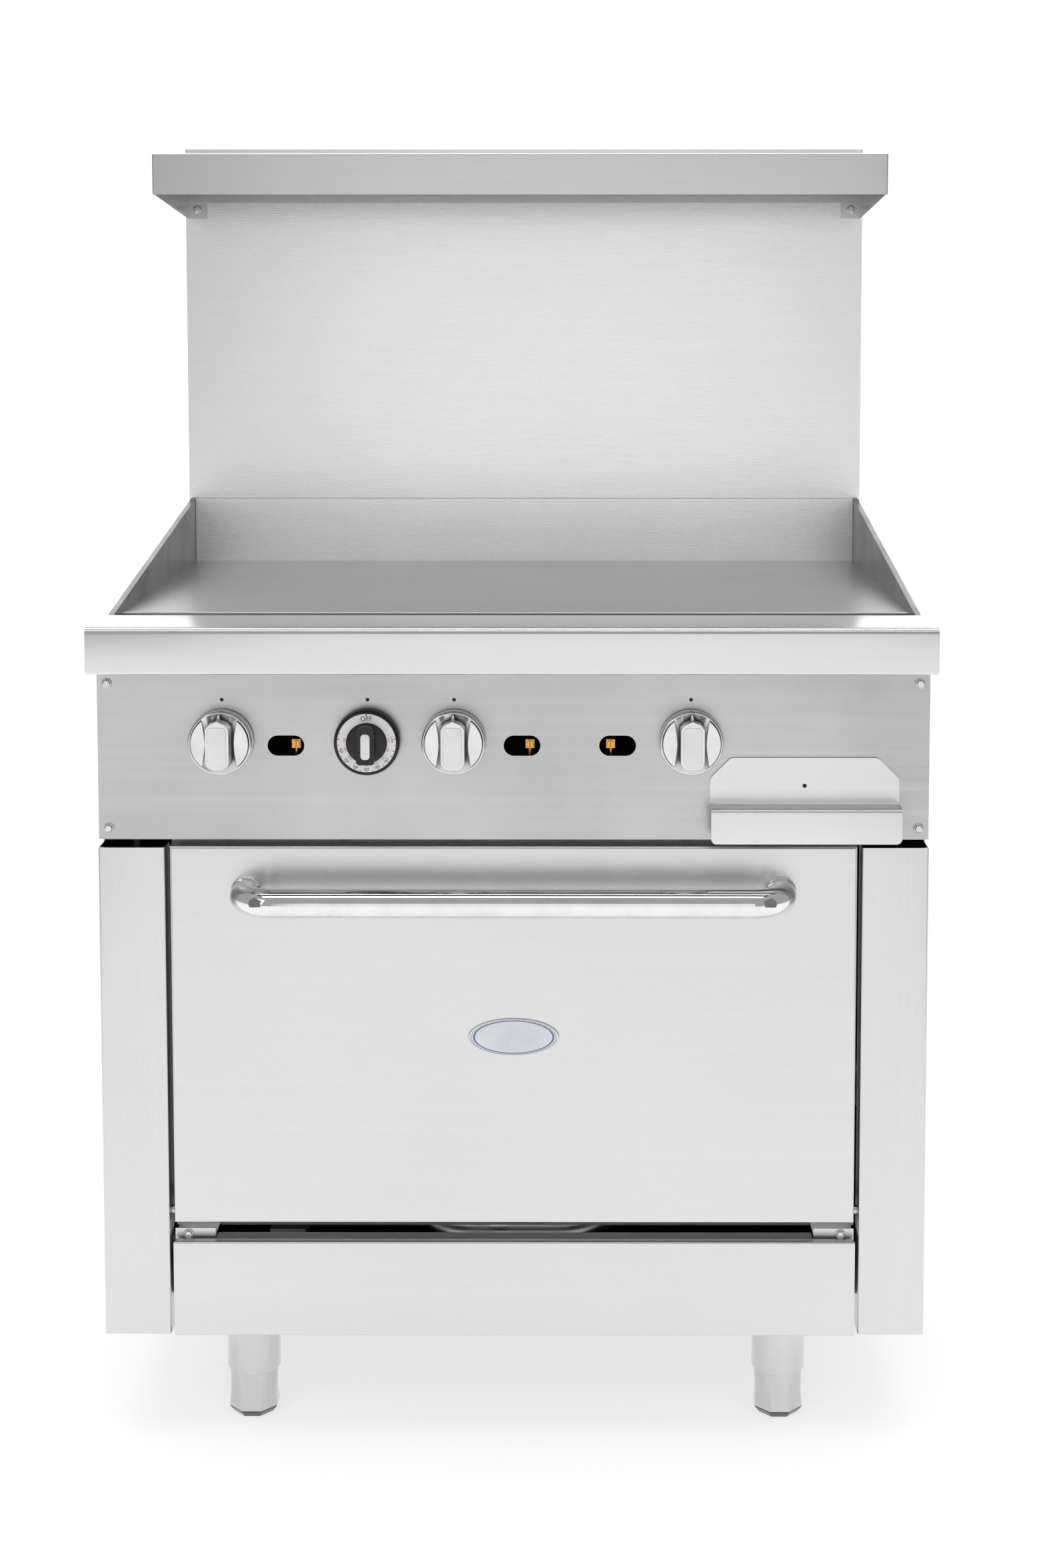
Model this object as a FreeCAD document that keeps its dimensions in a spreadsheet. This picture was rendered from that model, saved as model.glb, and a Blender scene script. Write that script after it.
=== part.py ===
"""Commercial gas range with a griddle top, one standard oven and a high shelf.

Millimetres. +X is the user's right, the range faces -Y and +Z is up. The origin is on the
floor, under the middle of the overall box. Every driving dimension is a cell of the sheet
called Dims; Size objects carry a cell, or a sum of cells, into the model as an expression.
"""
import FreeCAD, Part
import math
import os

import Sketcher

Vector = FreeCAD.Vector
Rotation = FreeCAD.Rotation

DIMENSIONS = [
    # alias, value, what it is
    ("width", 914.4, "overall width of the cabinet"),
    ("depth", 787.4, "front of the rail to the back of the flue"),
    ("height", 1480.0, "floor to the rim of the back guard"),
    ("leg_height", 152.4, "floor to the underside of the base frame"),
    ("skin", 1.5, "visible sheet steel"),
    ("liner_wall", 1.2, "oven liner and drawer sheet"),
    ("frame_height", 30.0, "base frame channel height"),
    ("frame_wall", 3.0, "base frame steel"),
    ("frame_rail", 42.0, "width of a side rail of the base frame"),
    ("leg_inset_side", 155.2, "side of the cabinet to a leg's centre"),
    ("leg_inset_end", 131.0, "front or back of the cabinet to a leg's centre"),
    ("leg_radius", 29.9, "leg tube outside"),
    ("leg_wall", 3.0, "leg tube steel"),
    ("foot_fit", 0.4, "gap round a foot in its tube"),
    ("foot_show", 52.0, "foot that shows below its tube"),
    ("foot_grip", 58.0, "foot hidden in its tube"),
    ("foot_flare", 29.5, "foot corner radius at the bottom"),
    ("foot_base", 8.0, "height of the foot's dark base"),
    ("post_width", 73.7, "front post face"),
    ("post_setback", 52.0, "rail front to post face"),
    ("post_return", 30.0, "outer return of a post"),
    ("door_setback", 51.0, "rail front to door face"),
    ("door_gap", 5.0, "door edge to post"),
    ("door_height", 425.9, "door, bottom to top"),
    ("door_thickness", 40.0, "door shell front to back"),
    ("door_corner", 3.0, "bend radius round the door's face"),
    ("pan_rise", 5.0, "raised middle of the door's inner pan"),
    ("kick_drop", 29.4, "kick panel below the base frame's underside"),
    ("kick_height", 107.7, "kick panel, bottom to top"),
    ("kick_lip", 10.0, "returns of the kick panel"),
    ("kick_ledge", 28.0, "top of the kick panel between the hinge tabs, depth"),
    ("tab_width", 45.0, "hinge tab of the oven's front frame"),
    ("shield_rise", 2.0, "heat shield above the lower edge of the base frame"),
    ("kick_gap", 3.7, "kick panel edge to post"),
    ("air_gap", 21.9, "kick panel top to door bottom"),
    ("panel_gap", 6.0, "door top to control panel"),
    ("panel_height", 192.5, "control panel showing below the rail"),
    ("panel_setback", 60.0, "rail front to control panel face"),
    ("rail_height", 51.0, "rail, bottom to top"),
    ("rail_depth", 100.0, "rail, front to back"),
    ("rail_radius", 16.0, "rounded top front edge of the rail"),
    ("rail_wall", 2.0, "rail steel"),
    ("trough_width", 61.0, "grease trough, front to back"),
    ("trough_depth", 31.0, "grease trough, rim to floor"),
    ("trough_fit", 0.5, "gap round the grease trough"),
    ("plate_inset", 9.7, "griddle plate edge to cabinet side"),
    ("plate_drop", 4.7, "griddle surface below the top of the rail"),
    ("plate_thickness", 19.0, "griddle plate"),
    ("splash_thickness", 6.4, "griddle splash plates"),
    ("splash_height", 84.7, "rear splash above the griddle surface"),
    ("splash_skirt", 38.0, "splash plates below the griddle surface"),
    ("guard_depth", 95.4, "back guard face to the back of the flue"),
    ("guard_gap", 3.6, "rear splash to back guard"),
    ("shelf_depth", 252.0, "shelf front to back guard"),
    ("shelf_drop", 21.0, "rim of the back guard to the shelf's top"),
    ("shelf_apron", 51.0, "turned-down edge of the shelf"),
    ("bracket_drop", 21.0, "bracket below the shelf at the back guard"),
    ("bracket_flange", 28.0, "bracket flange on the back guard"),
    ("hinge_inset", 16.7, "door face to hinge axis"),
    ("hinge_rise", 9.4, "door bottom to hinge axis"),
    ("hinge_radius", 5.0, "hinge shaft"),
    ("running_fit", 0.05, "radial gap of a turning shaft"),
    ("hinge_arm", 50.0, "spring arm on the hinge shaft"),
    ("spring_radius", 9.0, "door spring, middle of the wire"),
    ("spring_wire", 1.5, "door spring wire radius"),
    ("spring_pitch", 4.2, "door spring pitch"),
    ("bar_radius", 16.0, "door handle tube"),
    ("bar_half_span", 294.0, "middle of the door to a handle leg"),
    ("bar_standoff", 51.0, "door face to the middle of the handle bar"),
    ("bar_drop", 50.5, "door top to the handle"),
    ("bar_bend", 38.0, "bend radius of the handle"),
    ("badge_half_width", 50.3, "door badge"),
    ("badge_half_height", 20.8, "door badge"),
    ("badge_thickness", 2.0, "door badge"),
    ("badge_rise", 212.4, "door bottom to the badge's middle"),
    ("oven_side", 42.0, "door edge to oven opening"),
    ("oven_bottom", 37.4, "door bottom to oven opening"),
    ("oven_top", 32.5, "door top to oven opening"),
    ("oven_back_gap", 131.7, "back of the cavity to the back of the flue"),
    ("insulation", 42.0, "insulation round the liner"),
    ("liner_fit", 0.3, "gap between liner and insulation"),
    ("knob_rise", 110.5, "panel bottom to knob axis"),
    ("knob_radius", 35.0, "knob skirt"),
    ("knob_skirt", 8.0, "knob skirt thickness"),
    ("knob_hub", 22.0, "knob hub radius"),
    ("knob_reach", 40.0, "knob, back to front"),
    ("knob_clearance", 2.0, "knob to panel"),
    ("knob_grip", 26.0, "grip bar of a knob, width"),
    ("dial_grip", 20.0, "grip bar of the oven dial, width"),
    ("dial_radius", 36.0, "thermostat dial"),
    ("dial_thickness", 12.0, "thermostat dial disc"),
    ("stem_radius", 4.0, "valve stem"),
    ("dot_rise", 45.0, "knob axis to the dot above it"),
    ("dot_radius", 1.85, "dot hole"),
    ("port_rise", 104.5, "panel bottom to the view ports"),
    ("port_length", 40.4, "view port, end to end"),
    ("port_height", 22.6, "view port"),
    ("knob_edge_left", 137.2, "left side of the cabinet to the first knob"),
    ("thermostat_pitch", 160.0, "first knob to the thermostat"),
    ("middle_pitch", 255.0, "first knob to the middle knob"),
    ("knob_edge_right", 262.2, "right side of the cabinet to the last knob"),
    ("drawer_edge", 137.2, "right side of the cabinet to the drawer's middle"),
    ("drawer_width", 148.0, "grease drawer tray"),
    ("drawer_floor", 19.5, "panel bottom to the tray's underside"),
    ("drawer_height", 64.0, "grease drawer tray"),
    ("drawer_length", 394.0, "grease drawer tray"),
    ("drawer_fit", 1.5, "gap round the tray in the panel"),
    ("front_top", 91.5, "panel bottom to the drawer front's top"),
    ("front_fold", 40.5, "panel bottom to the drawer front's fold"),
    ("front_overlap", 30.0, "drawer front past the tray at each side"),
    ("front_flare", 23.0, "drawer front's sloping shoulder, height"),
    ("front_gap", 9.0, "drawer front's top corner to the nearest knob"),
    ("front_sheet", 2.0, "drawer front sheet"),
    ("pull_reach", 27.5, "drawer front face to the pull's face"),
    ("pipe_radius", 13.35, "3/4 inch gas pipe outside"),
    ("pipe_wall", 2.9, "3/4 inch gas pipe wall"),
    ("thread_radius", 13.1, "threaded end of the gas inlet"),
    ("pipe_edge", 39.2, "left side of the cabinet to the gas inlet pipe"),
    ("manifold_drop", 35.0, "knob axis down to the manifold"),
    ("manifold_setback", 48.7, "control panel face to the manifold"),
    ("burner_leg", 24.0, "griddle burner leg, square"),
    ("burner_spread", 75.0, "middle of a griddle burner to a leg"),
    ("oven_tube", 16.0, "oven burner tube radius"),
    ("wire_radius", 3.5, "oven rack frame wire"),
    ("rack_slack", 19.0, "rack front to the door's inner pan"),
    ("bolt_head", 5.8, "hex bolt head, corner radius"),
    ("bolt_thick", 4.0, "hex bolt head height"),
]

doc = FreeCAD.newDocument("GasRange")
sheet = doc.addObject("Spreadsheet::Sheet", "Dims")


class Size:
    """A length as FreeCAD expression text, with its present value beside it."""

    def __init__(self, text, value):
        self.text = text
        self.value = float(value)

    @staticmethod
    def of(item):
        if isinstance(item, Size):
            return item
        return Size(f"({float(item)!r})", item)

    def combine(self, sign, first, second, value):
        return Size(f"({first.text} {sign} {second.text})", value)

    def __add__(self, other):
        other = Size.of(other)
        return self.combine("+", self, other, self.value + other.value)

    def __radd__(self, other):
        return Size.of(other) + self

    def __sub__(self, other):
        other = Size.of(other)
        return self.combine("-", self, other, self.value - other.value)

    def __rsub__(self, other):
        return Size.of(other) - self

    def __mul__(self, number):
        other = Size.of(number)
        return self.combine("*", self, other, self.value * other.value)

    __rmul__ = __mul__

    def __truediv__(self, number):
        other = Size.of(number)
        return self.combine("/", self, other, self.value / other.value)

    def __neg__(self):
        return self * -1


class Sheet:
    """Named sizes: dim.width is the sheet's cell called width."""


dim = Sheet()
for row, (alias, value, meaning) in enumerate(DIMENSIONS, start=1):
    sheet.set(f"A{row}", meaning)
    sheet.set(f"B{row}", str(value))
    sheet.setAlias(f"B{row}", alias)
    setattr(dim, alias, Size(f"Dims.{alias}", value))
doc.recompute()

# ---------------------------------------------------------------- shared planes
half = dim.width / 2
front = -dim.depth / 2
back = dim.depth / 2
base = dim.leg_height
frame_top = base + dim.frame_height

kick_bottom = base - dim.kick_drop
kick_top = kick_bottom + dim.kick_height
door_bottom = kick_top + dim.air_gap
door_top = door_bottom + dim.door_height
panel_bottom = door_top + dim.panel_gap
rail_bottom = panel_bottom + dim.panel_height
rail_top = rail_bottom + dim.rail_height
plate_top = rail_top - dim.plate_drop
plate_bottom = plate_top - dim.plate_thickness
body_top = plate_bottom - 1.3

panel_face = front + dim.panel_setback
panel_back = panel_face + dim.skin
post_face = front + dim.post_setback
door_face = front + dim.door_setback
door_back = door_face + dim.door_thickness
kick_face = door_face
frame_face = door_back + dim.pan_rise + 0.7
rail_back = front + dim.rail_depth
guard_face = back - dim.guard_depth
plate_front = rail_back + dim.trough_width
plate_back = guard_face - dim.guard_gap - dim.splash_thickness
plate_half = half - dim.plate_inset

post_inner = half - dim.post_width
door_half = post_inner - dim.door_gap
kick_half = post_inner - dim.kick_gap
cavity_half = door_half - dim.oven_side
cavity_bottom = door_bottom + dim.oven_bottom
cavity_top = door_top - dim.oven_top
cavity_back = back - dim.oven_back_gap

hinge_y = door_face + dim.hinge_inset
hinge_z = door_bottom + dim.hinge_rise
handle_z = door_top - dim.bar_drop
bar_y = door_face - dim.bar_standoff

shelf_top = dim.height - dim.shelf_drop
shelf_bottom = shelf_top - dim.shelf_apron
shelf_front = guard_face - dim.shelf_depth

knob_z = panel_bottom + dim.knob_rise
knob_left_x = -half + dim.knob_edge_left
thermostat_x = knob_left_x + dim.thermostat_pitch
knob_middle_x = knob_left_x + dim.middle_pitch
knob_right_x = half - dim.knob_edge_right
knob_positions = {"left": knob_left_x, "middle": knob_middle_x, "right": knob_right_x}
port_positions = {"left": knob_left_x + 70, "middle": knob_middle_x + 74.5,
                  "right": knob_right_x - 80.5}
port_z = panel_bottom + dim.port_rise

drawer_x = half - dim.drawer_edge
tray_half = dim.drawer_width / 2
tray_bottom = panel_bottom + dim.drawer_floor
tray_top = tray_bottom + dim.drawer_height

manifold_y = panel_face + dim.manifold_setback
manifold_z = knob_z - dim.manifold_drop
pipe_x = -half + dim.pipe_edge
valve_front = panel_back + 10.2
valve_back = valve_front + 64

sides = {"left": -1, "right": 1}
leg_places = {
    "front_left": (-half + dim.leg_inset_side, front + dim.leg_inset_end),
    "front_right": (half - dim.leg_inset_side, front + dim.leg_inset_end),
    "rear_left": (-half + dim.leg_inset_side, back - dim.leg_inset_end),
    "rear_right": (half - dim.leg_inset_side, back - dim.leg_inset_end),
}
nodes = []


# ---------------------------------------------------------------- modelling helpers
def bind(item, prop, size):
    """Tie one property to the sheet, or set it where it is a plain number."""
    size = Size.of(size)
    item.setExpression(prop, size.text)


def place(item, base_point, rotation=None):
    if rotation is not None:
        item.Placement = FreeCAD.Placement(Vector(0, 0, 0), rotation)
    for letter, size in zip("xyz", base_point):
        bind(item, f"Placement.Base.{letter}", size)


def sub_part(item, name):
    """Register one exported node."""
    item.Label = name
    nodes.append(item)
    return item


def box(low, high):
    """Part::Box from its lowest to its highest corner."""
    item = doc.addObject("Part::Box", "block")
    for prop, low_size, high_size in zip(("Length", "Width", "Height"), low, high):
        bind(item, prop, high_size - low_size)
    place(item, low)
    return item


ALONG = {
    "x": Rotation(Vector(0, 1, 0), 90),
    "y": Rotation(Vector(1, 0, 0), -90),
    "z": Rotation(),
}


def cylinder(axis, start, radius, length):
    """Part::Cylinder that starts at a point and runs along +axis."""
    item = doc.addObject("Part::Cylinder", "round")
    bind(item, "Radius", radius)
    bind(item, "Height", length)
    place(item, start, ALONG[axis])
    return item


def cut(base_item, tools):
    """Part::Cut of one item by one or more tools."""
    for tool in tools:
        item = doc.addObject("Part::Cut", "cut")
        item.Base = base_item
        item.Tool = tool
        base_item = item
    return base_item


def fuse(items):
    item = doc.addObject("Part::MultiFuse", "joined")
    item.Shapes = items
    return item


def group(items):
    """Separate solids in one node."""
    item = doc.addObject("Part::Compound", "group")
    item.Links = items
    return item


def mirror_x(low_x, high_x, side):
    """The pair of X limits on one side of the middle, in rising order."""
    if side > 0:
        return low_x, high_x
    return -high_x, -low_x


# ---------------------------------------------------------------- sketch helpers
PLANES = {"x": "YZ_Plane", "y": "XZ_Plane", "z": "XY_Plane"}


def fix_point(sketch, geometry, position, point):
    for kind, size in zip(("DistanceX", "DistanceY"), point):
        size = Size.of(size)
        index = sketch.addConstraint(
            Sketcher.Constraint(kind, -1, 1, geometry, position, size.value))
        sketch.setExpression(f"Constraints[{index}]", size.text)


def polygon(sketch, points):
    points = [(Size.of(a), Size.of(b)) for a, b in points]
    count = len(points)
    first = sketch.GeometryCount
    for index, (a, b) in enumerate(points):
        c, d = points[(index + 1) % count]
        sketch.addGeometry(Part.LineSegment(Vector(a.value, b.value, 0), Vector(c.value, d.value, 0)))
    for index in range(count):
        following = first + (index + 1) % count
        sketch.addConstraint(Sketcher.Constraint("Coincident", first + index, 2, following, 1))
    for index, point in enumerate(points):
        fix_point(sketch, first + index, 1, point)


def rectangle(sketch, low_a, low_b, high_a, high_b):
    polygon(sketch, [(low_a, low_b), (high_a, low_b), (high_a, high_b), (low_a, high_b)])


def circle(sketch, centre, radius):
    a, b, radius = (Size.of(item) for item in (*centre, radius))
    index = sketch.addGeometry(Part.Circle(Vector(a.value, b.value, 0), Vector(0, 0, 1), radius.value))
    fix_point(sketch, index, 3, (a, b))
    limit = sketch.addConstraint(Sketcher.Constraint("Radius", index, radius.value))
    sketch.setExpression(f"Constraints[{limit}]", radius.text)


def stadium(sketch, centre, length, width):
    """A slot with round ends, its long side along the sketch's first axis."""
    a, b = (Size.of(item) for item in centre)
    radius = width / 2
    reach = length / 2 - radius
    left = Vector((a - reach).value, b.value, 0)
    right = Vector((a + reach).value, b.value, 0)
    up = Vector(0, radius.value, 0)
    quarter = math.pi / 2
    arc_left = sketch.addGeometry(
        Part.ArcOfCircle(Part.Circle(left, Vector(0, 0, 1), radius.value), quarter, 3 * quarter))
    arc_right = sketch.addGeometry(
        Part.ArcOfCircle(Part.Circle(right, Vector(0, 0, 1), radius.value), -quarter, quarter))
    low_line = sketch.addGeometry(Part.LineSegment(left - up, right - up))
    high_line = sketch.addGeometry(Part.LineSegment(right + up, left + up))
    for first, end, second, start in ((arc_left, 2, low_line, 1), (low_line, 2, arc_right, 1),
                                      (arc_right, 2, high_line, 1), (high_line, 2, arc_left, 1)):
        sketch.addConstraint(Sketcher.Constraint("Tangent", first, end, second, start))
    fix_point(sketch, arc_left, 3, (a - reach, b))
    fix_point(sketch, arc_right, 3, (a + reach, b))
    limit = sketch.addConstraint(Sketcher.Constraint("Radius", arc_left, radius.value))
    sketch.setExpression(f"Constraints[{limit}]", radius.text)


def octagon(sketch, centre, corner_radius):
    a, b = centre
    points = []
    for corner in range(8):
        angle = math.radians(22.5 + 45 * corner)
        points.append((a + corner_radius * math.cos(angle), b + corner_radius * math.sin(angle)))
    polygon(sketch, points)


def new_body(name):
    return doc.addObject("PartDesign::Body", name)


def new_sketch(body, axis, offset, loops):
    """A sketch across an axis: x gives (Y, Z), y gives (X, Z), z gives (X, Y)."""
    sketch = body.newObject("Sketcher::SketchObject", f"{body.Name}_sketch")
    plane = [item for item in body.Origin.OriginFeatures if item.Role == PLANES[axis]][0]
    sketch.AttachmentSupport = [(plane, "")]
    sketch.MapMode = "FlatFace"
    bind(sketch, "AttachmentOffset.Base.z", -offset if axis == "y" else offset)
    for draw, *sizes in loops:
        draw(sketch, *sizes)
    return sketch


def pad(body, axis, low, high, loops):
    """Material between two planes; the XZ plane faces -Y, so its pad starts at the high side."""
    sketch = new_sketch(body, axis, high if axis == "y" else low, loops)
    feature = body.newObject("PartDesign::Pad", f"{body.Name}_pad")
    feature.Profile = sketch
    bind(feature, "Length", high - low)
    sketch.Visibility = False
    return feature


def pocket(body, axis, low, high, loops):
    """Removes material between two planes; a pocket runs against its sketch's normal."""
    sketch = new_sketch(body, axis, low if axis == "y" else high, loops)
    doc.recompute()
    before = body.Shape.Volume
    feature = body.newObject("PartDesign::Pocket", f"{body.Name}_pocket")
    feature.Profile = sketch
    bind(feature, "Length", high - low)
    doc.recompute()
    if body.Shape.Volume > before - 1e-6:
        raise RuntimeError(f"a pocket of {body.Name} cuts nothing")
    return feature


def fillet(body, radius, choose):
    """Rounds the edges of the body's tip that the test picks by their middle point."""
    doc.recompute()
    tip = body.Tip
    names = []
    for index, edge in enumerate(tip.Shape.Edges, start=1):
        if choose(edge.CenterOfMass, edge):
            names.append(f"Edge{index}")
    if not names:
        raise RuntimeError(f"no edge of {body.Name} to round")
    feature = body.newObject("PartDesign::Fillet", f"{body.Name}_fillet")
    feature.Base = (tip, names)
    bind(feature, "Radius", radius)
    return feature


def near(value, size, slack=0.05):
    return abs(value - Size.of(size).value) < slack


# ---------------------------------------------------------------- base, legs and feet
def base_frame():
    body = new_body("base_frame")
    outer = half - dim.skin - 3
    window = outer - dim.frame_rail
    reach = dim.leg_inset_end + dim.leg_radius + 12
    low_y = frame_face
    high_y = back - dim.skin - 3
    wall = dim.frame_wall
    middle = (rectangle, -window, front + reach, window, back - reach)
    pad(body, "z", base, frame_top, [(rectangle, -outer, low_y, outer, high_y), middle])
    pocket(body, "z", base, frame_top - wall, [
        (rectangle, wall - outer, low_y + wall, outer - wall, high_y - wall),
        (rectangle, -window - wall, front + reach - wall, window + wall, back - reach + wall)])
    shield = base + dim.shield_rise
    loops = [(rectangle, -window - 1, front + reach - 1, window + 1, back - reach + 1)]
    for index in range(6):
        x = (window * 2) * ((index + 0.5) / 6) - window
        loops.append((rectangle, x - 40, back - reach - 60, x + 40, back - reach - 46))
    pad(body, "z", shield, shield + dim.skin, loops)
    sub_part(body, "base_frame")


def legs():
    tubes = []
    length = base + dim.frame_height - dim.frame_wall - dim.foot_show
    for x, y in leg_places.values():
        start = (x, y, dim.foot_show)
        tubes.append(cut(cylinder("z", start, dim.leg_radius, length),
                         [cylinder("z", start, dim.leg_radius - dim.leg_wall, length)]))
    sub_part(group(tubes), "leg_tubes")
    for corner, centre in leg_places.items():
        foot(f"foot_{corner}", centre)


def foot(name, centre):
    """Adjustable foot: a round bullet that slides in the tube, flaring to an octagon."""
    body = new_body(name)
    stem = dim.leg_radius - dim.leg_wall - dim.foot_fit
    shoulder = dim.foot_show - 18
    pad(body, "z", Size.of(0), dim.foot_base / 2, [(octagon, centre, dim.foot_flare - 3)])
    pad(body, "z", dim.foot_base / 2, dim.foot_base, [(octagon, centre, dim.foot_flare)])
    bottom = new_sketch(body, "z", dim.foot_base, [(octagon, centre, dim.foot_flare)])
    top = new_sketch(body, "z", shoulder, [(octagon, centre, stem + 0.8)])
    loft = body.newObject("PartDesign::AdditiveLoft", f"{name}_flare")
    loft.Profile = bottom
    loft.Sections = [top]
    pad(body, "z", shoulder, dim.foot_show + dim.foot_grip, [(circle, centre, stem)])
    sub_part(body, name)


# ---------------------------------------------------------------- cabinet sheets
def side_panels():
    for side, sign in sides.items():
        body = new_body(f"side_panel_{side}")
        low_x, high_x = mirror_x(half - dim.skin, half, sign)
        post_end = post_face + dim.post_return + 1.7
        pad(body, "x", low_x, high_x, [(polygon, [
            (post_end, kick_bottom), (back - dim.skin, kick_bottom), (back - dim.skin, body_top),
            (rail_back + 0.5, body_top), (rail_back + 0.5, rail_bottom - 0.5),
            (panel_back + 0.5, rail_bottom - 0.5), (panel_back + 0.5, panel_bottom + 3),
            (post_end, panel_bottom + 3)])])
        sub_part(body, f"side_panel_{side}")


def rear_panel():
    body = new_body("rear_panel")
    loops = [(rectangle, -half, frame_top, half, body_top),
             (circle, (pipe_x, knob_z), dim.pipe_radius + 5)]
    pad(body, "y", back - dim.skin, back, loops)
    sub_part(body, "rear_panel")


def front_posts():
    for side, sign in sides.items():
        body = new_body(f"front_post_{side}")
        inner, outer = post_inner * sign, half * sign
        wall = dim.skin * sign
        low_y, high_y = post_face + dim.skin, post_face + dim.post_return
        pad(body, "z", kick_bottom + dim.skin, door_top - dim.skin, [(polygon, [
            (inner, post_face), (outer, post_face), (outer, high_y), (outer - wall, high_y),
            (outer - wall, low_y), (inner + wall, low_y), (inner + wall, frame_face),
            (inner, frame_face)])])
        low_x, high_x = mirror_x(post_inner - 1, post_inner + dim.skin + 1, sign)
        pocket(body, "x", low_x, high_x, [(circle, (hinge_y, hinge_z), dim.hinge_radius + 1)])
        sub_part(body, f"front_post_{side}")


def kick_panel():
    body = new_body("kick_panel")
    pad(body, "y", kick_face, kick_face + dim.skin,
        [(rectangle, -kick_half, kick_bottom, kick_half, kick_top)])
    for low_z in (kick_bottom, kick_top - dim.skin):
        pad(body, "z", low_z, low_z + dim.skin, [
            (rectangle, -kick_half, kick_face, kick_half, kick_face + dim.kick_lip)])
    ledge = kick_half - dim.tab_width - 1
    pad(body, "z", kick_top - dim.skin, kick_top, [
        (rectangle, -ledge, kick_face, ledge, kick_face + dim.kick_ledge)])
    sub_part(body, "kick_panel")


def control_panel():
    body = new_body("control_panel")
    cut_half = tray_half + dim.drawer_fit
    inner = half - dim.skin - 0.3
    hem = rail_bottom - 0.3
    holes = [(polygon, [(-half, panel_bottom), (half, panel_bottom), (half, hem), (inner, hem),
                        (inner, rail_bottom + 20), (-inner, rail_bottom + 20), (-inner, hem),
                        (-half, hem)]),
             (rectangle, drawer_x - cut_half, tray_bottom - dim.drawer_fit,
              drawer_x + cut_half, tray_top + dim.drawer_fit)]
    for x in (*knob_positions.values(), thermostat_x):
        holes.append((circle, (x, knob_z), dim.stem_radius * 2))
        holes.append((circle, (x, knob_z + dim.dot_rise), dim.dot_radius))
    for x in port_positions.values():
        holes.append((stadium, (x, port_z), dim.port_length, dim.port_height))
    pad(body, "y", panel_face, panel_back, holes)
    pad(body, "z", panel_bottom, panel_bottom + dim.skin,
        [(rectangle, -inner, panel_back, inner, frame_face - 1)])
    sub_part(body, "control_panel")


def bullnose_rail():
    body = new_body("bullnose_rail")
    wall = dim.rail_wall
    lip = panel_face - 2
    inner = half - dim.skin
    pad(body, "x", -inner, inner, [(polygon, [
        (lip, rail_bottom), (front, rail_bottom), (front, rail_top), (rail_back, rail_top),
        (rail_back, rail_top - 23), (rail_back - wall, rail_top - 23),
        (rail_back - wall, rail_top - wall), (front + wall, rail_top - wall),
        (front + wall, rail_bottom + wall), (lip, rail_bottom + wall)])])
    for low_x, high_x in ((-half, -inner), (inner, half)):
        pad(body, "x", low_x, high_x, [(rectangle, front, rail_bottom, rail_back, rail_top)])
    fillet(body, dim.rail_radius, lambda middle, edge: edge.Length > 100
           and near(middle.y, front) and near(middle.z, rail_top))
    fillet(body, dim.rail_radius - wall, lambda middle, edge: edge.Length > 100
           and near(middle.y, front + wall) and near(middle.z, rail_top - wall))
    sub_part(body, "bullnose_rail")


# ---------------------------------------------------------------- griddle
def griddle():
    body = new_body("griddle_plate")
    pad(body, "z", plate_bottom, plate_top,
        [(rectangle, -plate_half, plate_front, plate_half, plate_back)])
    fillet(body, 2, lambda middle, edge: near(middle.y, plate_front) and near(middle.z, plate_top))
    sub_part(body, "griddle_plate")

    splash = new_body("griddle_splash")
    skirt = plate_top - dim.splash_skirt
    rear = plate_back + dim.splash_thickness
    crest = plate_top + dim.splash_height
    for sign in sides.values():
        low_x, high_x = mirror_x(plate_half, plate_half + dim.splash_thickness, sign)
        pad(splash, "x", low_x, high_x, [(polygon, [
            (rail_back + dim.trough_fit, skirt), (rear, skirt), (rear, crest),
            (plate_back, crest), (rail_back + dim.trough_fit, plate_top + 1.7)])])
        if sign < 0:
            pad(splash, "y", plate_back, rear,
                [(rectangle, -plate_half, plate_bottom, plate_half, crest)])
    sub_part(splash, "griddle_splash")


def grease_trough():
    """Channel in front of the griddle plate, with a chute down to the drawer."""
    body = new_body("grease_trough")
    fit, wall = dim.trough_fit, dim.rail_wall
    low_y, high_y = rail_back + fit, plate_front - fit
    rim = plate_bottom - 1
    floor = plate_top - 8.3 - dim.trough_depth
    reach = plate_half - fit
    chute_y = (low_y + high_y) / 2
    chute_radius = dim.trough_width / 2 - 12.5
    pad(body, "z", floor, rim, [(rectangle, -reach, low_y, reach, high_y)])
    pad(body, "z", tray_top + 4, floor, [(circle, (drawer_x, chute_y), chute_radius)])
    pocket(body, "z", floor + wall, rim,
           [(rectangle, wall - reach, low_y + wall, reach - wall, high_y - wall)])
    pocket(body, "z", tray_top, rim, [(circle, (drawer_x, chute_y), chute_radius - wall)])
    sub_part(body, "grease_trough")


def griddle_burners():
    """Three identical atmospheric burners under the plate, one behind each griddle valve."""
    burners = []
    spread, leg = dim.burner_spread, dim.burner_leg
    bar_front = valve_back + 97
    burner_pitch = (plate_half * 2) / 3
    for index, (name, valve_x) in enumerate(knob_positions.items()):
        middle = burner_pitch * (index - 1)
        pieces = [cylinder("y", (valve_x, valve_back + 18, knob_z), dim.oven_tube, 80)]
        low_x, high_x = middle - spread - leg / 2, middle + spread + leg / 2
        if name == "right":
            low_x = knob_right_x - dim.oven_tube
        pieces.append(box((low_x, bar_front, knob_z - dim.oven_tube),
                          (high_x, bar_front + 30, knob_z + dim.oven_tube + 6)))
        for leg_x in (middle - spread, middle + spread):
            pieces.append(box((leg_x - leg / 2, bar_front + 30, knob_z),
                              (leg_x + leg / 2, plate_back - 60, knob_z + leg)))
        burners.append(fuse(pieces))
    sub_part(group(burners), "griddle_burners")


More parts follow.
